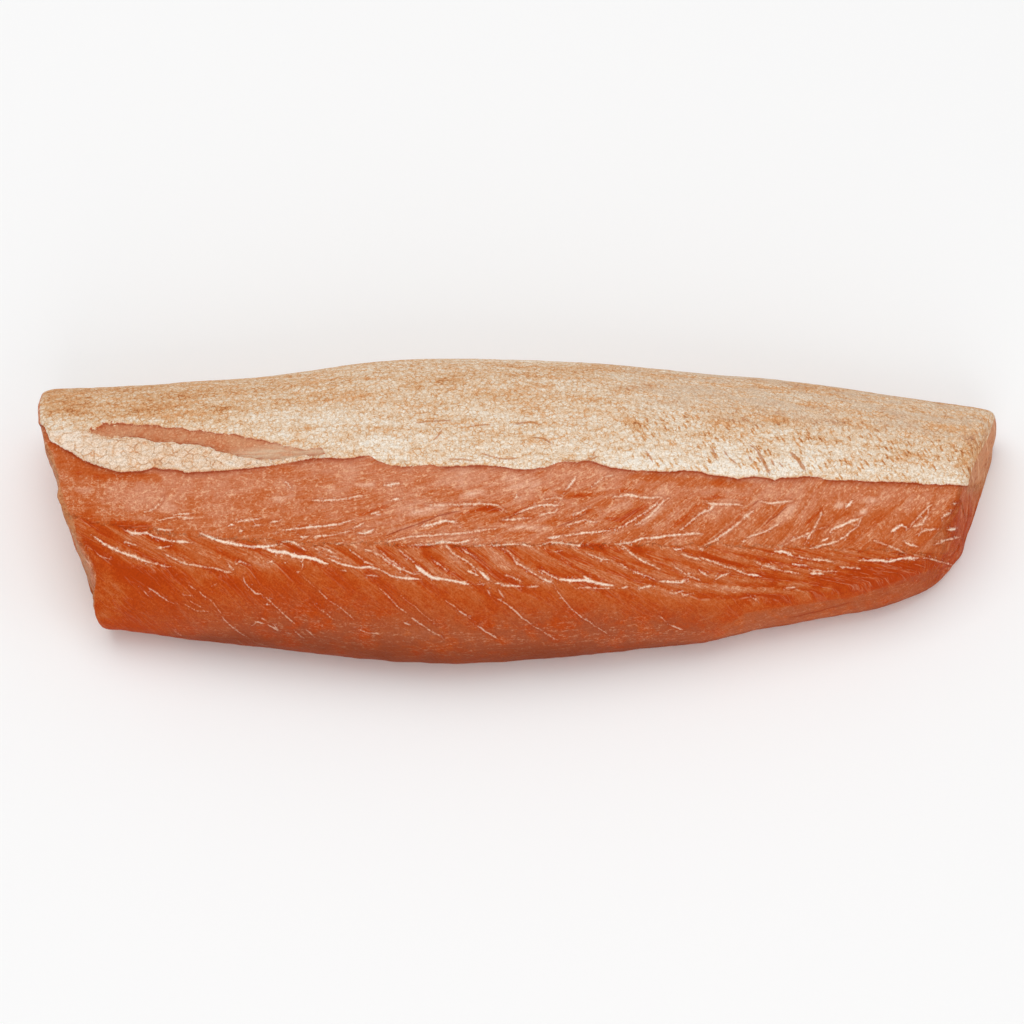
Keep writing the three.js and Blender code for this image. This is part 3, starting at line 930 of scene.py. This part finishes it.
level = np.zeros(count)
carried = {
    "membrane": membrane_gap,
    "film": film_share,
    "flap": flap_share,
    "tan": tan,
    "dashes": dash_share,
    "grey": grey_share,
    "flake": flake,
    "flake_strength": flake_strength,
    "spacing": spacing_mm,
    "below_tips": np.where(on_front > MOSTLY_FRONT, below_tips, HIDDEN_TIPS),
    "below_septum": np.where(on_front > MOSTLY_FRONT, below_septum, HIDDEN_SEPTUM),
    "fibre_above": np.stack((across_above, run_mm, level), 1),
    "fibre_below": np.stack((across_below, run_mm, level + LOWER_FIBRE_LEVEL), 1),
    "tone": tone,
    # Painted shade along the lower edge of the cut face.
    "grime": grime,
    "calm": calm,
    "rings": cone_reach + uneven(RING_WANDER),
    "frost": frost,
    "torn": smooth(tear_gap, *TORN_EDGE),
    "ragged": patch(*RAGGED_END),
    "rind": rind,
    "rind_dark": RIND_STAIN_SHARE * patch(*RIND_STAIN),
    "cut_end": np.where((facing > 0) & (photo_x > PHOTO_MIDDLE), rind, end_share),
}
for kind, layers in stroke_layers.items():
    for i, (side, width) in enumerate(layers):
        carried[f"{kind}_side_{i}"] = side
        carried[f"{kind}_width_{i}"] = width
for name, values in carried.items():
    single = values.ndim == 1
    layer = rounded_mesh.attributes.new(name, "FLOAT" if single else "FLOAT_VECTOR", "POINT")
    layer.data.foreach_set("value" if single else "vector", values.astype(np.float32).ravel())


class Field:
    """A number, colour or vector of a material. Python's operators on numbers add Math nodes."""

    tree = None

    def __init__(self, socket):
        self.socket = socket

    @classmethod
    def node(cls, kind, settings=None, inputs=None, output=0):
        """Adds any node: its settings first, then the values or links of its sockets."""
        made = cls.tree.nodes.new(kind)
        for name, value in (settings or {}).items():
            if name == "stops":
                ramp = made.color_ramp
                while len(ramp.elements) < len(value):
                    ramp.elements.new(1)
                for stop, (position, colour) in zip(ramp.elements, value):
                    stop.position = position
                    stop.color = colour
            else:
                setattr(made, name, value)
        for name, value in (inputs or {}).items():
            socket = made.inputs[name]
            if isinstance(value, Field):
                cls.tree.links.new(value.socket, socket)
            else:
                socket.default_value = value
        return cls(made.outputs[output])

    def math(self, operation, other=0.0, reverse=False):
        """One Math node on this number and another."""
        pair = (other, self) if reverse else (self, other)
        return Field.node("ShaderNodeMath", {"operation": operation}, {0: pair[0], 1: pair[1]})

    def __add__(self, other):
        return self.math("ADD", other)

    def __radd__(self, other):
        return self.math("ADD", other)

    def __sub__(self, other):
        return self.math("SUBTRACT", other)

    def __rsub__(self, other):
        return self.math("SUBTRACT", other, reverse=True)

    def __mul__(self, other):
        return self.math("MULTIPLY", other)

    def __rmul__(self, other):
        return self.math("MULTIPLY", other)

    def __abs__(self):
        return self.math("ABSOLUTE")

    def rise(self, low, high):
        """0 where this is below low, 1 above high, with a soft rise between."""
        inputs = {"Value": self, "From Min": low, "From Max": high}
        return Field.node("ShaderNodeMapRange", {"interpolation_type": "SMOOTHSTEP"}, inputs)

    def colours(self, *stops):
        """A colour for this number, from (position, colour) stops."""
        return Field.node("ShaderNodeValToRGB", {"stops": stops}, {"Fac": self})

    def toward(self, other, share):
        """This colour mixed with another one by a share."""
        settings = {"data_type": "RGBA"}
        return Field.node("ShaderNodeMix", settings, {0: share, 6: self, 7: other}, output=2)


def stored(name, vector=False):
    """A value that the loin's mesh carries at each point."""
    return Field.node("ShaderNodeAttribute", {"attribute_name": name}, output=1 if vector else 2)


def srgb(red, green, blue):
    """A colour as seen on a screen, 0 to 255, to the linear colour that a shader takes."""
    parts = [c / 255 for c in (red, green, blue)]
    return tuple(c / 12.92 if c < 0.04045 else ((c + 0.055) / 1.055) ** 2.4 for c in parts) + (1.0,)


def scaled(vector, stretch, turn=0.0):
    """Coordinates turned about Z and multiplied along each axis."""
    turned = vector
    if turn:
        turned = Field.node("ShaderNodeMapping", None, {"Vector": vector, "Rotation": (0, 0, turn)})
    return Field.node("ShaderNodeVectorMath", {"operation": "MULTIPLY"}, {0: turned, 1: stretch})


def nearest_stroke(kind):
    """How deep a point lies inside the strokes of one kind, in pixels, and below 0 outside them."""
    numbers = range(len(stroke_layers[kind]))
    depths = [stored(f"{kind}_width_{i}") - abs(stored(f"{kind}_side_{i}")) for i in numbers]
    deepest = depths[0]
    for depth in depths[1:]:
        deepest = deepest.math("MAXIMUM", depth)
    return deepest


def speckle(vector, scale=1.0, detail=2.0, roughness=0.5, stretch=None):
    """Cloudy noise over coordinates, which may be stretched first, from about -0.5 to 0.5."""
    stretched = scaled(vector, stretch) if stretch else vector
    inputs = {"Vector": stretched, "Scale": scale, "Detail": detail, "Roughness": roughness}
    return Field.node("ShaderNodeTexNoise", {"noise_dimensions": "3D"}, inputs) - 0.5


def hairline(value, core, border):
    """1 where a number is within the core around 0, and 0 past the border."""
    return 1 - abs(value).rise(core, border)


def mixed(weights):
    """A mix of the noises and other marks of the finish, by the weight of each."""
    first, *others = [marks[name] * weight for name, weight in weights.items()]
    return sum(others, first)


def toned(number, tones):
    """A colour for a number, from (number, colour) stops at any numbers."""
    least = tones[0][0]
    span = tones[-1][0] - least
    stops = [((stop - least) / span, colour) for stop, colour in tones]
    return ((number - least) * (1 / span)).colours(*stops)


def cells(vector, scale, feature, randomness=1.0, dimensions="3D"):
    """The distance to the middle or to the edge of the cell around each place."""
    settings = {"feature": feature, "voronoi_dimensions": dimensions}
    inputs = {"Vector": vector, "Scale": scale, "Randomness": randomness}
    return Field.node("ShaderNodeTexVoronoi", settings, inputs)


# The finish of the loin's flesh: deep orange to pale pink, with fine fibres along the flakes and white
# fat in the sheets between them. It is moist from the cure, with a satin gloss.
RING_SPACING = 6.5
FLESH_TONES = (
    (-0.30, srgb(177, 62, 12)),
    (-0.04, srgb(184, 72, 19)),
    (0.10, srgb(188, 85, 32)),
    (0.32, srgb(193, 101, 54)),
    (0.57, srgb(201, 122, 86)),
    (0.77, srgb(210, 141, 108)),
    (1.00, srgb(224, 165, 136)),
    (1.30, srgb(238, 198, 170)),
)
FAT = srgb(250, 228, 208)
PINK_SHEET = srgb(240, 200, 170)
THIN_FAT = srgb(242, 190, 150)
# Painted shadow: the dark red of the shadow lines in the crevices, beside the white sheets and under the
# membrane's lip.
SHADOW_RED = srgb(150, 50, 16)
FROST = srgb(160, 80, 50)
HAZE = srgb(212, 146, 116)
# Painted shade: the dark brown along the lower edge, where the cut face turns under.
LOWER_SHADE_BROWN = srgb(122, 50, 22)
FILM = srgb(214, 178, 147)
TORN = srgb(204, 146, 106)
# The values between which each mark of the flesh comes in or fades, and the share of its colour.
FLESH_FADES = {
    "under tips": (-0.5, 0.5), "lower": (-4, 12), "gap": (-2.4, 1.4), "crevice": (-0.4, 1.2),
    "sheet": (0.05, 0.4), "sheet breaks": (-0.05, 0.15), "thread": (0.1, 0.22), "vein": (0.004, 0.016),
    "curl": (0.008, 0.04), "curl breaks": (-0.08, 0.1), "curl tone": (0.2, 0.4),
    "squiggle": (0.01, 0.045), "squiggle breaks": (-0.02, 0.12),
    "wisp": (0.004, 0.022), "wisp breaks": (-0.1, 0.1), "frost": (-0.35, 0.1),
    "ring": (0.1, 0.45), "ring breaks": (-0.2, 0.1), "haze": (-0.05, 0.25), "haze tone": (0.3, 0.5),
    "white": (-0.9, 1.9), "hair": (-0.6, 0.7), "sheet fat": (0.2, 1.7), "rim": (-3.2, -1.2),
    "rim end": (-1.2, 0.3), "speck": (0.13, 0.22), "speck reach": (-6, 0), "fleck": (0.12, 0.22),
    "lip shade": (-2.0, -0.2), "lip shadow line": (-0.7, -0.1), "lip end": (-0.1, 0.1), "lip breaks": (-0.25, 0.05),
}
FLESH_SHARES = {
    "ring": 0.55, "haze": 0.25, "sheet": 0.3, "thread": 0.16, "vein": 0.16, "curl": 0.55, "squiggle": 0.7,
    "frost": 0.85, "wisp": 0.3, "crevice": 0.7, "rim": 0.28, "speck": 0.45, "fleck": 0.6, "white": 0.95,
    "grime": 0.66, "lip shade": 0.45, "lip shadow line": 0.4, "torn": 0.45, "film": 0.7,
}
TIP_WANDER = {"fuzz": 12, "blotch": 16}
GAP_RAGGED = {"fuzz": 1.5, "blotch": 1.5}
FIBRE_TONE = {"bundle": 0.85, "thread": 0.55}
UNEVEN_TONE = {"fuzz": 0.5, "blotch": 0.4, "cloud": 0.6, "sand": 0.5}
HAZE_CLOUDS = {"cloud": 1.5, "blotch": 1.0}
FROST_CLOUDS = {"cloud": 1.0, "blotch": 1.0}
SQUIGGLE_CLOUDS = {"blotch": 1.0, "fuzz": 0.5}
CREVICE_RAGGED = {"fuzz": 2.0}
WHITE_RAGGED = {"fuzz": 5.0, "sand": 3.0, "blotch": 2.5}
HAIR_RAGGED = {"fuzz": 3.0, "sand": 2.0}
LOWER_SHADE_UNEVEN = {"cloud": 0.6, "fuzz": 0.6}
TORN_UNEVEN = {"blotch": 1.0, "fuzz": 1.0}
TORN_TONE = 0.05
GAP_TONE = 0.38
SHEET_TILT = 0.75
VEIN_LEVEL = 0.03
WHITE_INSET = 0.4
HAIR_INSET = 0.75
FEWER_SPECKS = 0.7
LESS_WHITE = 0.4
LESS_LIP = 0.5
STREAKED_FILM = 3.2

finish = bpy.data.materials.new("salmon_flesh_and_membrane")
finish.use_nodes = True
Field.tree = finish.node_tree
shader = finish.node_tree.nodes["Principled BSDF"]

object_place = Field.node("ShaderNodeTexCoord", output=3)
millimetres = scaled(object_place, (MM_PER_METRE, MM_PER_METRE, MM_PER_METRE))
marks = {
    "fuzz": speckle(millimetres, scale=1.1, detail=4.0, roughness=0.65),
    "sand": speckle(millimetres, scale=2.3, roughness=0.6),
    "cloud": speckle(millimetres, scale=0.09, detail=3.0),
    "blotch": speckle(millimetres, scale=0.3, detail=3.0),
}
under_tips = (stored("below_tips") + mixed(TIP_WANDER)).rise(*FLESH_FADES["under tips"])
fibres = Field.node(
    "ShaderNodeMix",
    {"data_type": "VECTOR"},
    {0: under_tips, 4: stored("fibre_above", vector=True), 5: stored("fibre_below", vector=True)},
    output=1,
)
marks["bundle"] = speckle(fibres, detail=4.0, roughness=0.6, stretch=(0.8, 0.1, 1))
marks["thread"] = speckle(fibres, detail=3.0, roughness=0.55, stretch=(2.2, 0.25, 1))
vein = speckle(fibres, detail=3.0, roughness=0.6, stretch=(0.5, 0.05, 1))
curl = speckle(fibres, stretch=(0.75, 0.3, 1))
squiggle = speckle(fibres, stretch=(1.1, 0.6, 1))
wisp = speckle(millimetres, detail=4.0, roughness=0.6, stretch=(0.12, 0.4, 0.5))
film_streak = speckle(millimetres, detail=4.0, roughness=0.6, stretch=(0.12, 0.9, 0.9))
sheet_breaks = speckle(fibres, scale=0.3, detail=3.0).rise(*FLESH_FADES["sheet breaks"])
ring_breaks = speckle(millimetres, scale=0.25).rise(*FLESH_FADES["ring breaks"])
fleck = speckle(millimetres, scale=1.5).rise(*FLESH_FADES["fleck"])
fuzz = marks["fuzz"]
combed = stored("calm")
frosted = stored("frost")
torn = stored("torn")
lower = stored("below_septum").rise(*FLESH_FADES["lower"])

# The colour of the muscle itself, by its tone, and then its fine pale lines along the fibres.
gap = (nearest_stroke("gap") + mixed(GAP_RAGGED)).rise(*FLESH_FADES["gap"])
tone_field = stored("tone") + mixed(FIBRE_TONE) * combed + mixed(UNEVEN_TONE)
tone_field = tone_field + torn * TORN_TONE - gap * GAP_TONE
flesh_colour = toned(tone_field, FLESH_TONES)
flake_line = abs((stored("flake") + 0.5).math("FRACT") - 0.5) * stored("spacing") * SHEET_TILT
sheet_line = hairline(flake_line, *FLESH_FADES["sheet"]) * sheet_breaks * stored("flake_strength")
thread_line = marks["thread"].rise(*FLESH_FADES["thread"]) * combed
vein_line = hairline(vein - VEIN_LEVEL, *FLESH_FADES["vein"]) * combed
curl_line = hairline(curl, *FLESH_FADES["curl"]) * fuzz.rise(*FLESH_FADES["curl breaks"])
curl_line = curl_line * (1 - lower) * stored("tone").rise(*FLESH_FADES["curl tone"])
ring = abs((stored("rings") * (1 / RING_SPACING)).math("FRACT") - 0.5) * RING_SPACING
ring_line = hairline(ring, *FLESH_FADES["ring"]) * stored("cut_end") * ring_breaks
haze = mixed(HAZE_CLOUDS).rise(*FLESH_FADES["haze"]) * stored("tone").rise(*FLESH_FADES["haze tone"])
squiggle_line = hairline(squiggle, *FLESH_FADES["squiggle"]) * (1 - combed) * (1 - lower)
squiggle_line = squiggle_line * mixed(SQUIGGLE_CLOUDS).rise(*FLESH_FADES["squiggle breaks"])
wisp_line = hairline(wisp, *FLESH_FADES["wisp"]) * fuzz.rise(*FLESH_FADES["wisp breaks"]) * frosted

# The white sheets with painted shadow lines beside them and specks of fat, painted shadow in the crevices,
# and painted shadow under the membrane's lip.
# Painted shadow in the crevices between flakes.
crevice = (nearest_stroke("crevice") + mixed(CREVICE_RAGGED)).rise(*FLESH_FADES["crevice"])
white_depth = nearest_stroke("white")
white = (white_depth - WHITE_INSET + mixed(WHITE_RAGGED)).rise(*FLESH_FADES["white"])
hair = (white_depth - HAIR_INSET + mixed(HAIR_RAGGED)).rise(*FLESH_FADES["hair"])
white = white + (hair - white) * lower
# Painted shadow lines along both sides of the white sheets.
rim = white_depth.rise(*FLESH_FADES["rim"]) * (1 - white_depth.rise(*FLESH_FADES["rim end"]))
speck = speckle(millimetres, scale=1.2).rise(*FLESH_FADES["speck"])
speck = speck * white_depth.rise(*FLESH_FADES["speck reach"]) * (1 - lower * FEWER_SPECKS)
sheet_fat = white_depth.rise(*FLESH_FADES["sheet fat"]).colours((0.0, PINK_SHEET), (1.0, FAT))
membrane_depth = stored("membrane")
# Painted shadow under the membrane's lip: a soft band and a thin dark line right at its edge, broken in
# places and fainter along the tear.
lip_shade = membrane_depth.rise(*FLESH_FADES["lip shade"]) * FLESH_SHARES["lip shade"]
lip_shadow_line = membrane_depth.rise(*FLESH_FADES["lip shadow line"]) * FLESH_SHARES["lip shadow line"]
lip_shadow = (lip_shade + lip_shadow_line) * (1 - membrane_depth.rise(*FLESH_FADES["lip end"]))
lip_shadow = lip_shadow * marks["cloud"].rise(*FLESH_FADES["lip breaks"]) * (1 - torn * LESS_LIP)
for layer_colour, layer_share in (
    (FAT, ring_line * FLESH_SHARES["ring"]),
    (HAZE, haze * FLESH_SHARES["haze"]),
    (THIN_FAT, sheet_line * FLESH_SHARES["sheet"]),
    (THIN_FAT, thread_line * FLESH_SHARES["thread"]),
    (THIN_FAT, vein_line * FLESH_SHARES["vein"]),
    (THIN_FAT, curl_line * FLESH_SHARES["curl"]),
    (THIN_FAT, squiggle_line * FLESH_SHARES["squiggle"]),
    (FROST, frosted * mixed(FROST_CLOUDS).rise(*FLESH_FADES["frost"]) * FLESH_SHARES["frost"]),
    (THIN_FAT, wisp_line * FLESH_SHARES["wisp"]),
    # Painted shadow: in the crevices, and in thin lines beside the white sheets.
    (SHADOW_RED, crevice * FLESH_SHARES["crevice"]),
    (SHADOW_RED, rim * FLESH_SHARES["rim"]),
    (FAT, speck * FLESH_SHARES["speck"]),
    (sheet_fat, white * (FLESH_SHARES["white"] - lower * LESS_WHITE)),
    # Painted shade along the lower edge, uneven in clouds.
    (LOWER_SHADE_BROWN, stored("grime") * (FLESH_SHARES["grime"] + mixed(LOWER_SHADE_UNEVEN))),
    # Painted shadow under the membrane's lip.
    (SHADOW_RED, lip_shadow),
    (TORN, torn * (FLESH_SHARES["torn"] + mixed(TORN_UNEVEN))),
    (THIN_FAT, torn * fleck * FLESH_SHARES["fleck"]),
    (FILM, stored("film") * (FLESH_SHARES["film"] + film_streak * STREAKED_FILM)),
):
    flesh_colour = flesh_colour.toward(layer_colour, layer_share)

# The finish of the membrane: cream fat in small beads, stained tan to brown in streaks. Toward the
# thin end its scale pockets show as slanting brown dashes, and the flap shows them as pale cells.
MEMBRANE_TONES = (
    (-0.10, srgb(242, 231, 216)),
    (0.15, srgb(234, 214, 191)),
    (0.40, srgb(224, 193, 161)),
    (0.65, srgb(214, 168, 124)),
    (0.90, srgb(202, 138, 88)),
    (1.30, srgb(160, 94, 50)),
)
PEACH = srgb(222, 162, 112)
GREY_FAT = srgb(213, 191, 169)
PINK_FAT = srgb(240, 196, 164)
BROWN = srgb(184, 112, 60)
LIGHT_RIND = srgb(212, 160, 118)
RIND = srgb(202, 138, 92)
DARK_RIND = srgb(160, 80, 44)
RIND_STOPS = ((0.0, LIGHT_RIND), (0.4, RIND), (1.0, DARK_RIND))
BEND_SCALE = 0.5
BEND_REACH = (1.5, 1.5, 1.5)
BEAD_SCALE = 0.75
POCKET_SCALE = 0.4
DASH_TURN = 1.08
DASH_STRETCH = (0.22, 0.7, 1)
DASH_RANDOMNESS = 0.75
MEMBRANE_FADES = {
    "bead": (0.15, 0.6), "bead line": (0.0, 0.14), "bead breaks": (-0.12, 0.12), "pocket": (0.0, 0.12),
    "pocket breaks": (0.2, 0.9), "dash": (0.14, 0.32), "dash breaks": (-0.14, 0.06), "stain": (-0.02, 0.2),
    "stained": (0.2, 0.6), "grey": (0.0, 0.2), "crease": (-0.8, 1.0), "lip rim": (0.1, 0.5),
    "lip rim breaks": (-0.1, 0.1), "cover": (-0.12, 0.12), "cut end": (0.5, 0.9), "rind": (0.3, 0.8),
}
MEMBRANE_SHARES = {
    "stain": 0.5, "grey": 0.55, "flap": 0.3, "crease": 0.75, "lip rim": 0.5, "rind": 0.75, "ring": 0.4,
}
DARKNESS = 0.25
TAN_DARKNESS = 0.38
MEMBRANE_MARKS = {
    "streaky": 1.1, "mottle": 0.7, "sand": -0.7, "fuzz": -0.3, "bead": -0.24, "bead line": 0.4, "dash": 0.55,
    "fleck": 0.22,
}
FLAP_DARKNESS = 0.11
FLAP_TAN_DARKNESS = 0.35
FLAP_MARKS = {"pocket line": 0.75, "mottle": 1.4, "sand": -1.0, "bead line": 0.2}
POCKET_LEVEL = 0.5
POCKET_UNEVEN = {"blotch": 2.2}
GREY_LEVEL = 0.1
FLAP_UNEVEN = {"blotch": 0.6}
CREASE_RAGGED = {"fuzz": 2.5}
COVER_RAGGED = {"fuzz": 0.5, "sand": 0.3}
SHREDDED = {"fuzz": 3.0, "blotch": 3.0}
RIND_TONE = 0.42
STAINED_RIND = 0.5
RIND_UNEVEN = {"fuzz": 2.8, "blotch": 1.4, "sand": 1.5}
RIND_RAGGED = {"fuzz": 0.8, "blotch": 0.8}
RIND_PATCHY = {"blotch": 1.2}
GRAIN = {"sand": 0.8, "fuzz": 0.35}
FLESH_GRAIN = 0.6
MUSCLE_HEIGHT = {"bundle": 0.25, "thread": 0.1}
FUZZ_HEIGHT = 0.15
BEAD_HEIGHT = 0.12
POCKET_DEPTH = 0.15
BUMP_DISTANCE = 0.001
ROUGHNESS = 0.46
UNEVEN_ROUGHNESS = {"fuzz": 0.3}
MEMBRANE_ROUGHNESS = 0.2
GLOSS = 0.03

wander = Field.node("ShaderNodeTexNoise", None, {"Vector": millimetres, "Scale": BEND_SCALE}, output=1)
bending = {0: wander, 1: BEND_REACH, 2: millimetres}
bent = Field.node("ShaderNodeVectorMath", {"operation": "MULTIPLY_ADD"}, bending)
bead = 1 - cells(bent, BEAD_SCALE, "F1").rise(*MEMBRANE_FADES["bead"])
bead_line = 1 - cells(bent, BEAD_SCALE, "DISTANCE_TO_EDGE").rise(*MEMBRANE_FADES["bead line"])
bead_breaks = speckle(millimetres, scale=0.6, detail=3.0).rise(*MEMBRANE_FADES["bead breaks"])
pocket = 1 - cells(bent, POCKET_SCALE, "DISTANCE_TO_EDGE").rise(*MEMBRANE_FADES["pocket"])
pocket_breaks = (POCKET_LEVEL + mixed(POCKET_UNEVEN)).rise(*MEMBRANE_FADES["pocket breaks"])
stain = speckle(millimetres, detail=4.0, roughness=0.65, stretch=(0.06, 0.3, 0.3))
slanted = scaled(bent, DASH_STRETCH, DASH_TURN)
dash = 1 - cells(slanted, 1.0, "F1", DASH_RANDOMNESS, "2D").rise(*MEMBRANE_FADES["dash"])
dash_breaks = speckle(millimetres, scale=0.2).rise(*MEMBRANE_FADES["dash breaks"])
marks["streaky"] = speckle(millimetres, detail=4.0, roughness=0.62, stretch=(0.03, 0.2, 0.2))
marks["mottle"] = speckle(millimetres, detail=4.0, roughness=0.65, stretch=(0.3, 0.6, 0.6))
marks["bead"] = bead
marks["bead line"] = bead_line * bead_breaks
marks["pocket line"] = pocket * pocket_breaks
marks["dash"] = dash * dash_breaks * stored("dashes")
marks["fleck"] = fleck
on_flap = stored("flap")
darkness = stored("tan") * TAN_DARKNESS + DARKNESS + mixed(MEMBRANE_MARKS)
flap_darkness = stored("tan") * FLAP_TAN_DARKNESS + FLAP_DARKNESS + mixed(FLAP_MARKS)
darkness = darkness + (flap_darkness - darkness) * on_flap
membrane_colour = toned(darkness, MEMBRANE_TONES)
stained = stain.rise(*MEMBRANE_FADES["stain"]) * darkness.rise(*MEMBRANE_FADES["stained"])
greyed = (GREY_LEVEL - stain).rise(*MEMBRANE_FADES["grey"]) * stored("grey")
crease = (nearest_stroke("crease") + mixed(CREASE_RAGGED)).rise(*MEMBRANE_FADES["crease"])
lip_rim = 1 - membrane_depth.rise(*MEMBRANE_FADES["lip rim"])
lip_rim = lip_rim * marks["cloud"].rise(*MEMBRANE_FADES["lip rim breaks"])
for layer_colour, layer_share in (
    (PEACH, stained * MEMBRANE_SHARES["stain"]),
    (GREY_FAT, greyed * MEMBRANE_SHARES["grey"]),
    (PINK_FAT, on_flap * (MEMBRANE_SHARES["flap"] + mixed(FLAP_UNEVEN))),
    (BROWN, crease * MEMBRANE_SHARES["crease"]),
    (PEACH, lip_rim * MEMBRANE_SHARES["lip rim"]),
):
    membrane_colour = membrane_colour.toward(layer_colour, layer_share)

# The membrane over the flesh, shredded at the end of its tear, and the dried rind over both.
shreds = stored("ragged") * mixed(SHREDDED)
cover = (membrane_depth + mixed(COVER_RAGGED) + shreds).rise(*MEMBRANE_FADES["cover"])
cover = cover * (1 - stored("cut_end").rise(*MEMBRANE_FADES["cut end"]))
rind_tone = stored("rind_dark") * STAINED_RIND + RIND_TONE + mixed(RIND_UNEVEN)
rind_share = (stored("rind") + mixed(RIND_RAGGED)).rise(*MEMBRANE_FADES["rind"])
colour = flesh_colour.toward(membrane_colour, cover)
rind_layer = rind_share * (MEMBRANE_SHARES["rind"] + mixed(RIND_PATCHY))
colour = colour.toward(rind_tone.colours(*RIND_STOPS), rind_layer)
colour = colour.toward(THIN_FAT, ring_line * rind_share * MEMBRANE_SHARES["ring"])
grain = 1 + mixed(GRAIN) * (FLESH_GRAIN + cover * (1 - FLESH_GRAIN))
colour = Field.node("ShaderNodeVectorMath", {"operation": "SCALE"}, {0: colour, "Scale": grain})
covered = membrane_depth.rise(*MEMBRANE_FADES["cover"])
height = mixed(MUSCLE_HEIGHT) * (1 - covered) + fuzz * FUZZ_HEIGHT
height = height + (bead * BEAD_HEIGHT - pocket * on_flap * POCKET_DEPTH) * covered
bump = Field.node("ShaderNodeBump", None, {"Height": height, "Strength": 1.0, "Distance": BUMP_DISTANCE})
roughness = ROUGHNESS + mixed(UNEVEN_ROUGHNESS) + cover * MEMBRANE_ROUGHNESS
for name, value in (("Base Color", colour), ("Roughness", roughness), ("Normal", bump)):
    finish.node_tree.links.new(value.socket, shader.inputs[name])
shader.inputs["Specular IOR Level"].default_value = GLOSS

rounded_mesh.materials.clear()
rounded_mesh.materials.append(finish)
rounded_mesh.polygons.foreach_set("use_smooth", np.ones(len(rounded_mesh.polygons), dtype=bool))
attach(loin, "root")
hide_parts("salmon_loin")

# The floor: a plain pale board, wide enough to fill every view.
FLOOR_HALF = 4.0
FLOOR_COLOUR = (0.95, 0.95, 0.95, 1)
FLOOR_ROUGHNESS = 0.9
FLOOR_GLOSS = 0.1

floor_mesh = bpy.data.meshes.new("floor")
floor_bmesh = bmesh.new()
bmesh.ops.create_grid(floor_bmesh, x_segments=1, y_segments=1, size=FLOOR_HALF)
floor_bmesh.to_mesh(floor_mesh)
floor_bmesh.free()
floor_finish = bpy.data.materials.new("floor_white")
floor_finish.use_nodes = True
floor_shader = floor_finish.node_tree.nodes["Principled BSDF"]
floor_shader.inputs["Base Color"].default_value = FLOOR_COLOUR
floor_shader.inputs["Roughness"].default_value = FLOOR_ROUGHNESS
floor_shader.inputs["Specular IOR Level"].default_value = FLOOR_GLOSS
floor_mesh.materials.append(floor_finish)
floor = bpy.data.objects.new("floor", floor_mesh)
bpy.context.scene.collection.objects.link(floor)

# Soft studio light: an even white surround, one broad lamp above and a little behind, and fill
# lamps low in front and at the thin end, so that the cut face is as bright as the back.
SURROUND_STRENGTH = 0.6
SURROUND_COLOUR = (1, 1, 1, 1)
LAMPS = {
    "lamp_above": ((-0.25, 0.35, 1.5), 1.2, 9.0),
    "lamp_front": ((0.1, -1.2, 0.7), 0.9, 3.8),
    "lamp_side": ((1.3, -0.5, 0.35), 0.8, 2.0),
}
surround = bpy.data.worlds.new("surround")
surround.use_nodes = True
surround.node_tree.nodes["Background"].inputs["Strength"].default_value = SURROUND_STRENGTH
surround.node_tree.nodes["Background"].inputs["Color"].default_value = SURROUND_COLOUR
bpy.context.scene.world = surround
for lamp_name, (lamp_place, lamp_size, lamp_power) in LAMPS.items():
    lamp_data = bpy.data.lights.new(lamp_name, "AREA")
    lamp_data.size = lamp_size
    lamp_data.energy = lamp_power
    lamp = bpy.data.objects.new(lamp_name, lamp_data)
    lamp.location = lamp_place
    lamp.rotation_euler = (-Vector(lamp_place)).to_track_quat("-Z", "Y").to_euler()
    bpy.context.scene.collection.objects.link(lamp)
bpy.context.scene.view_settings.view_transform = "Standard"
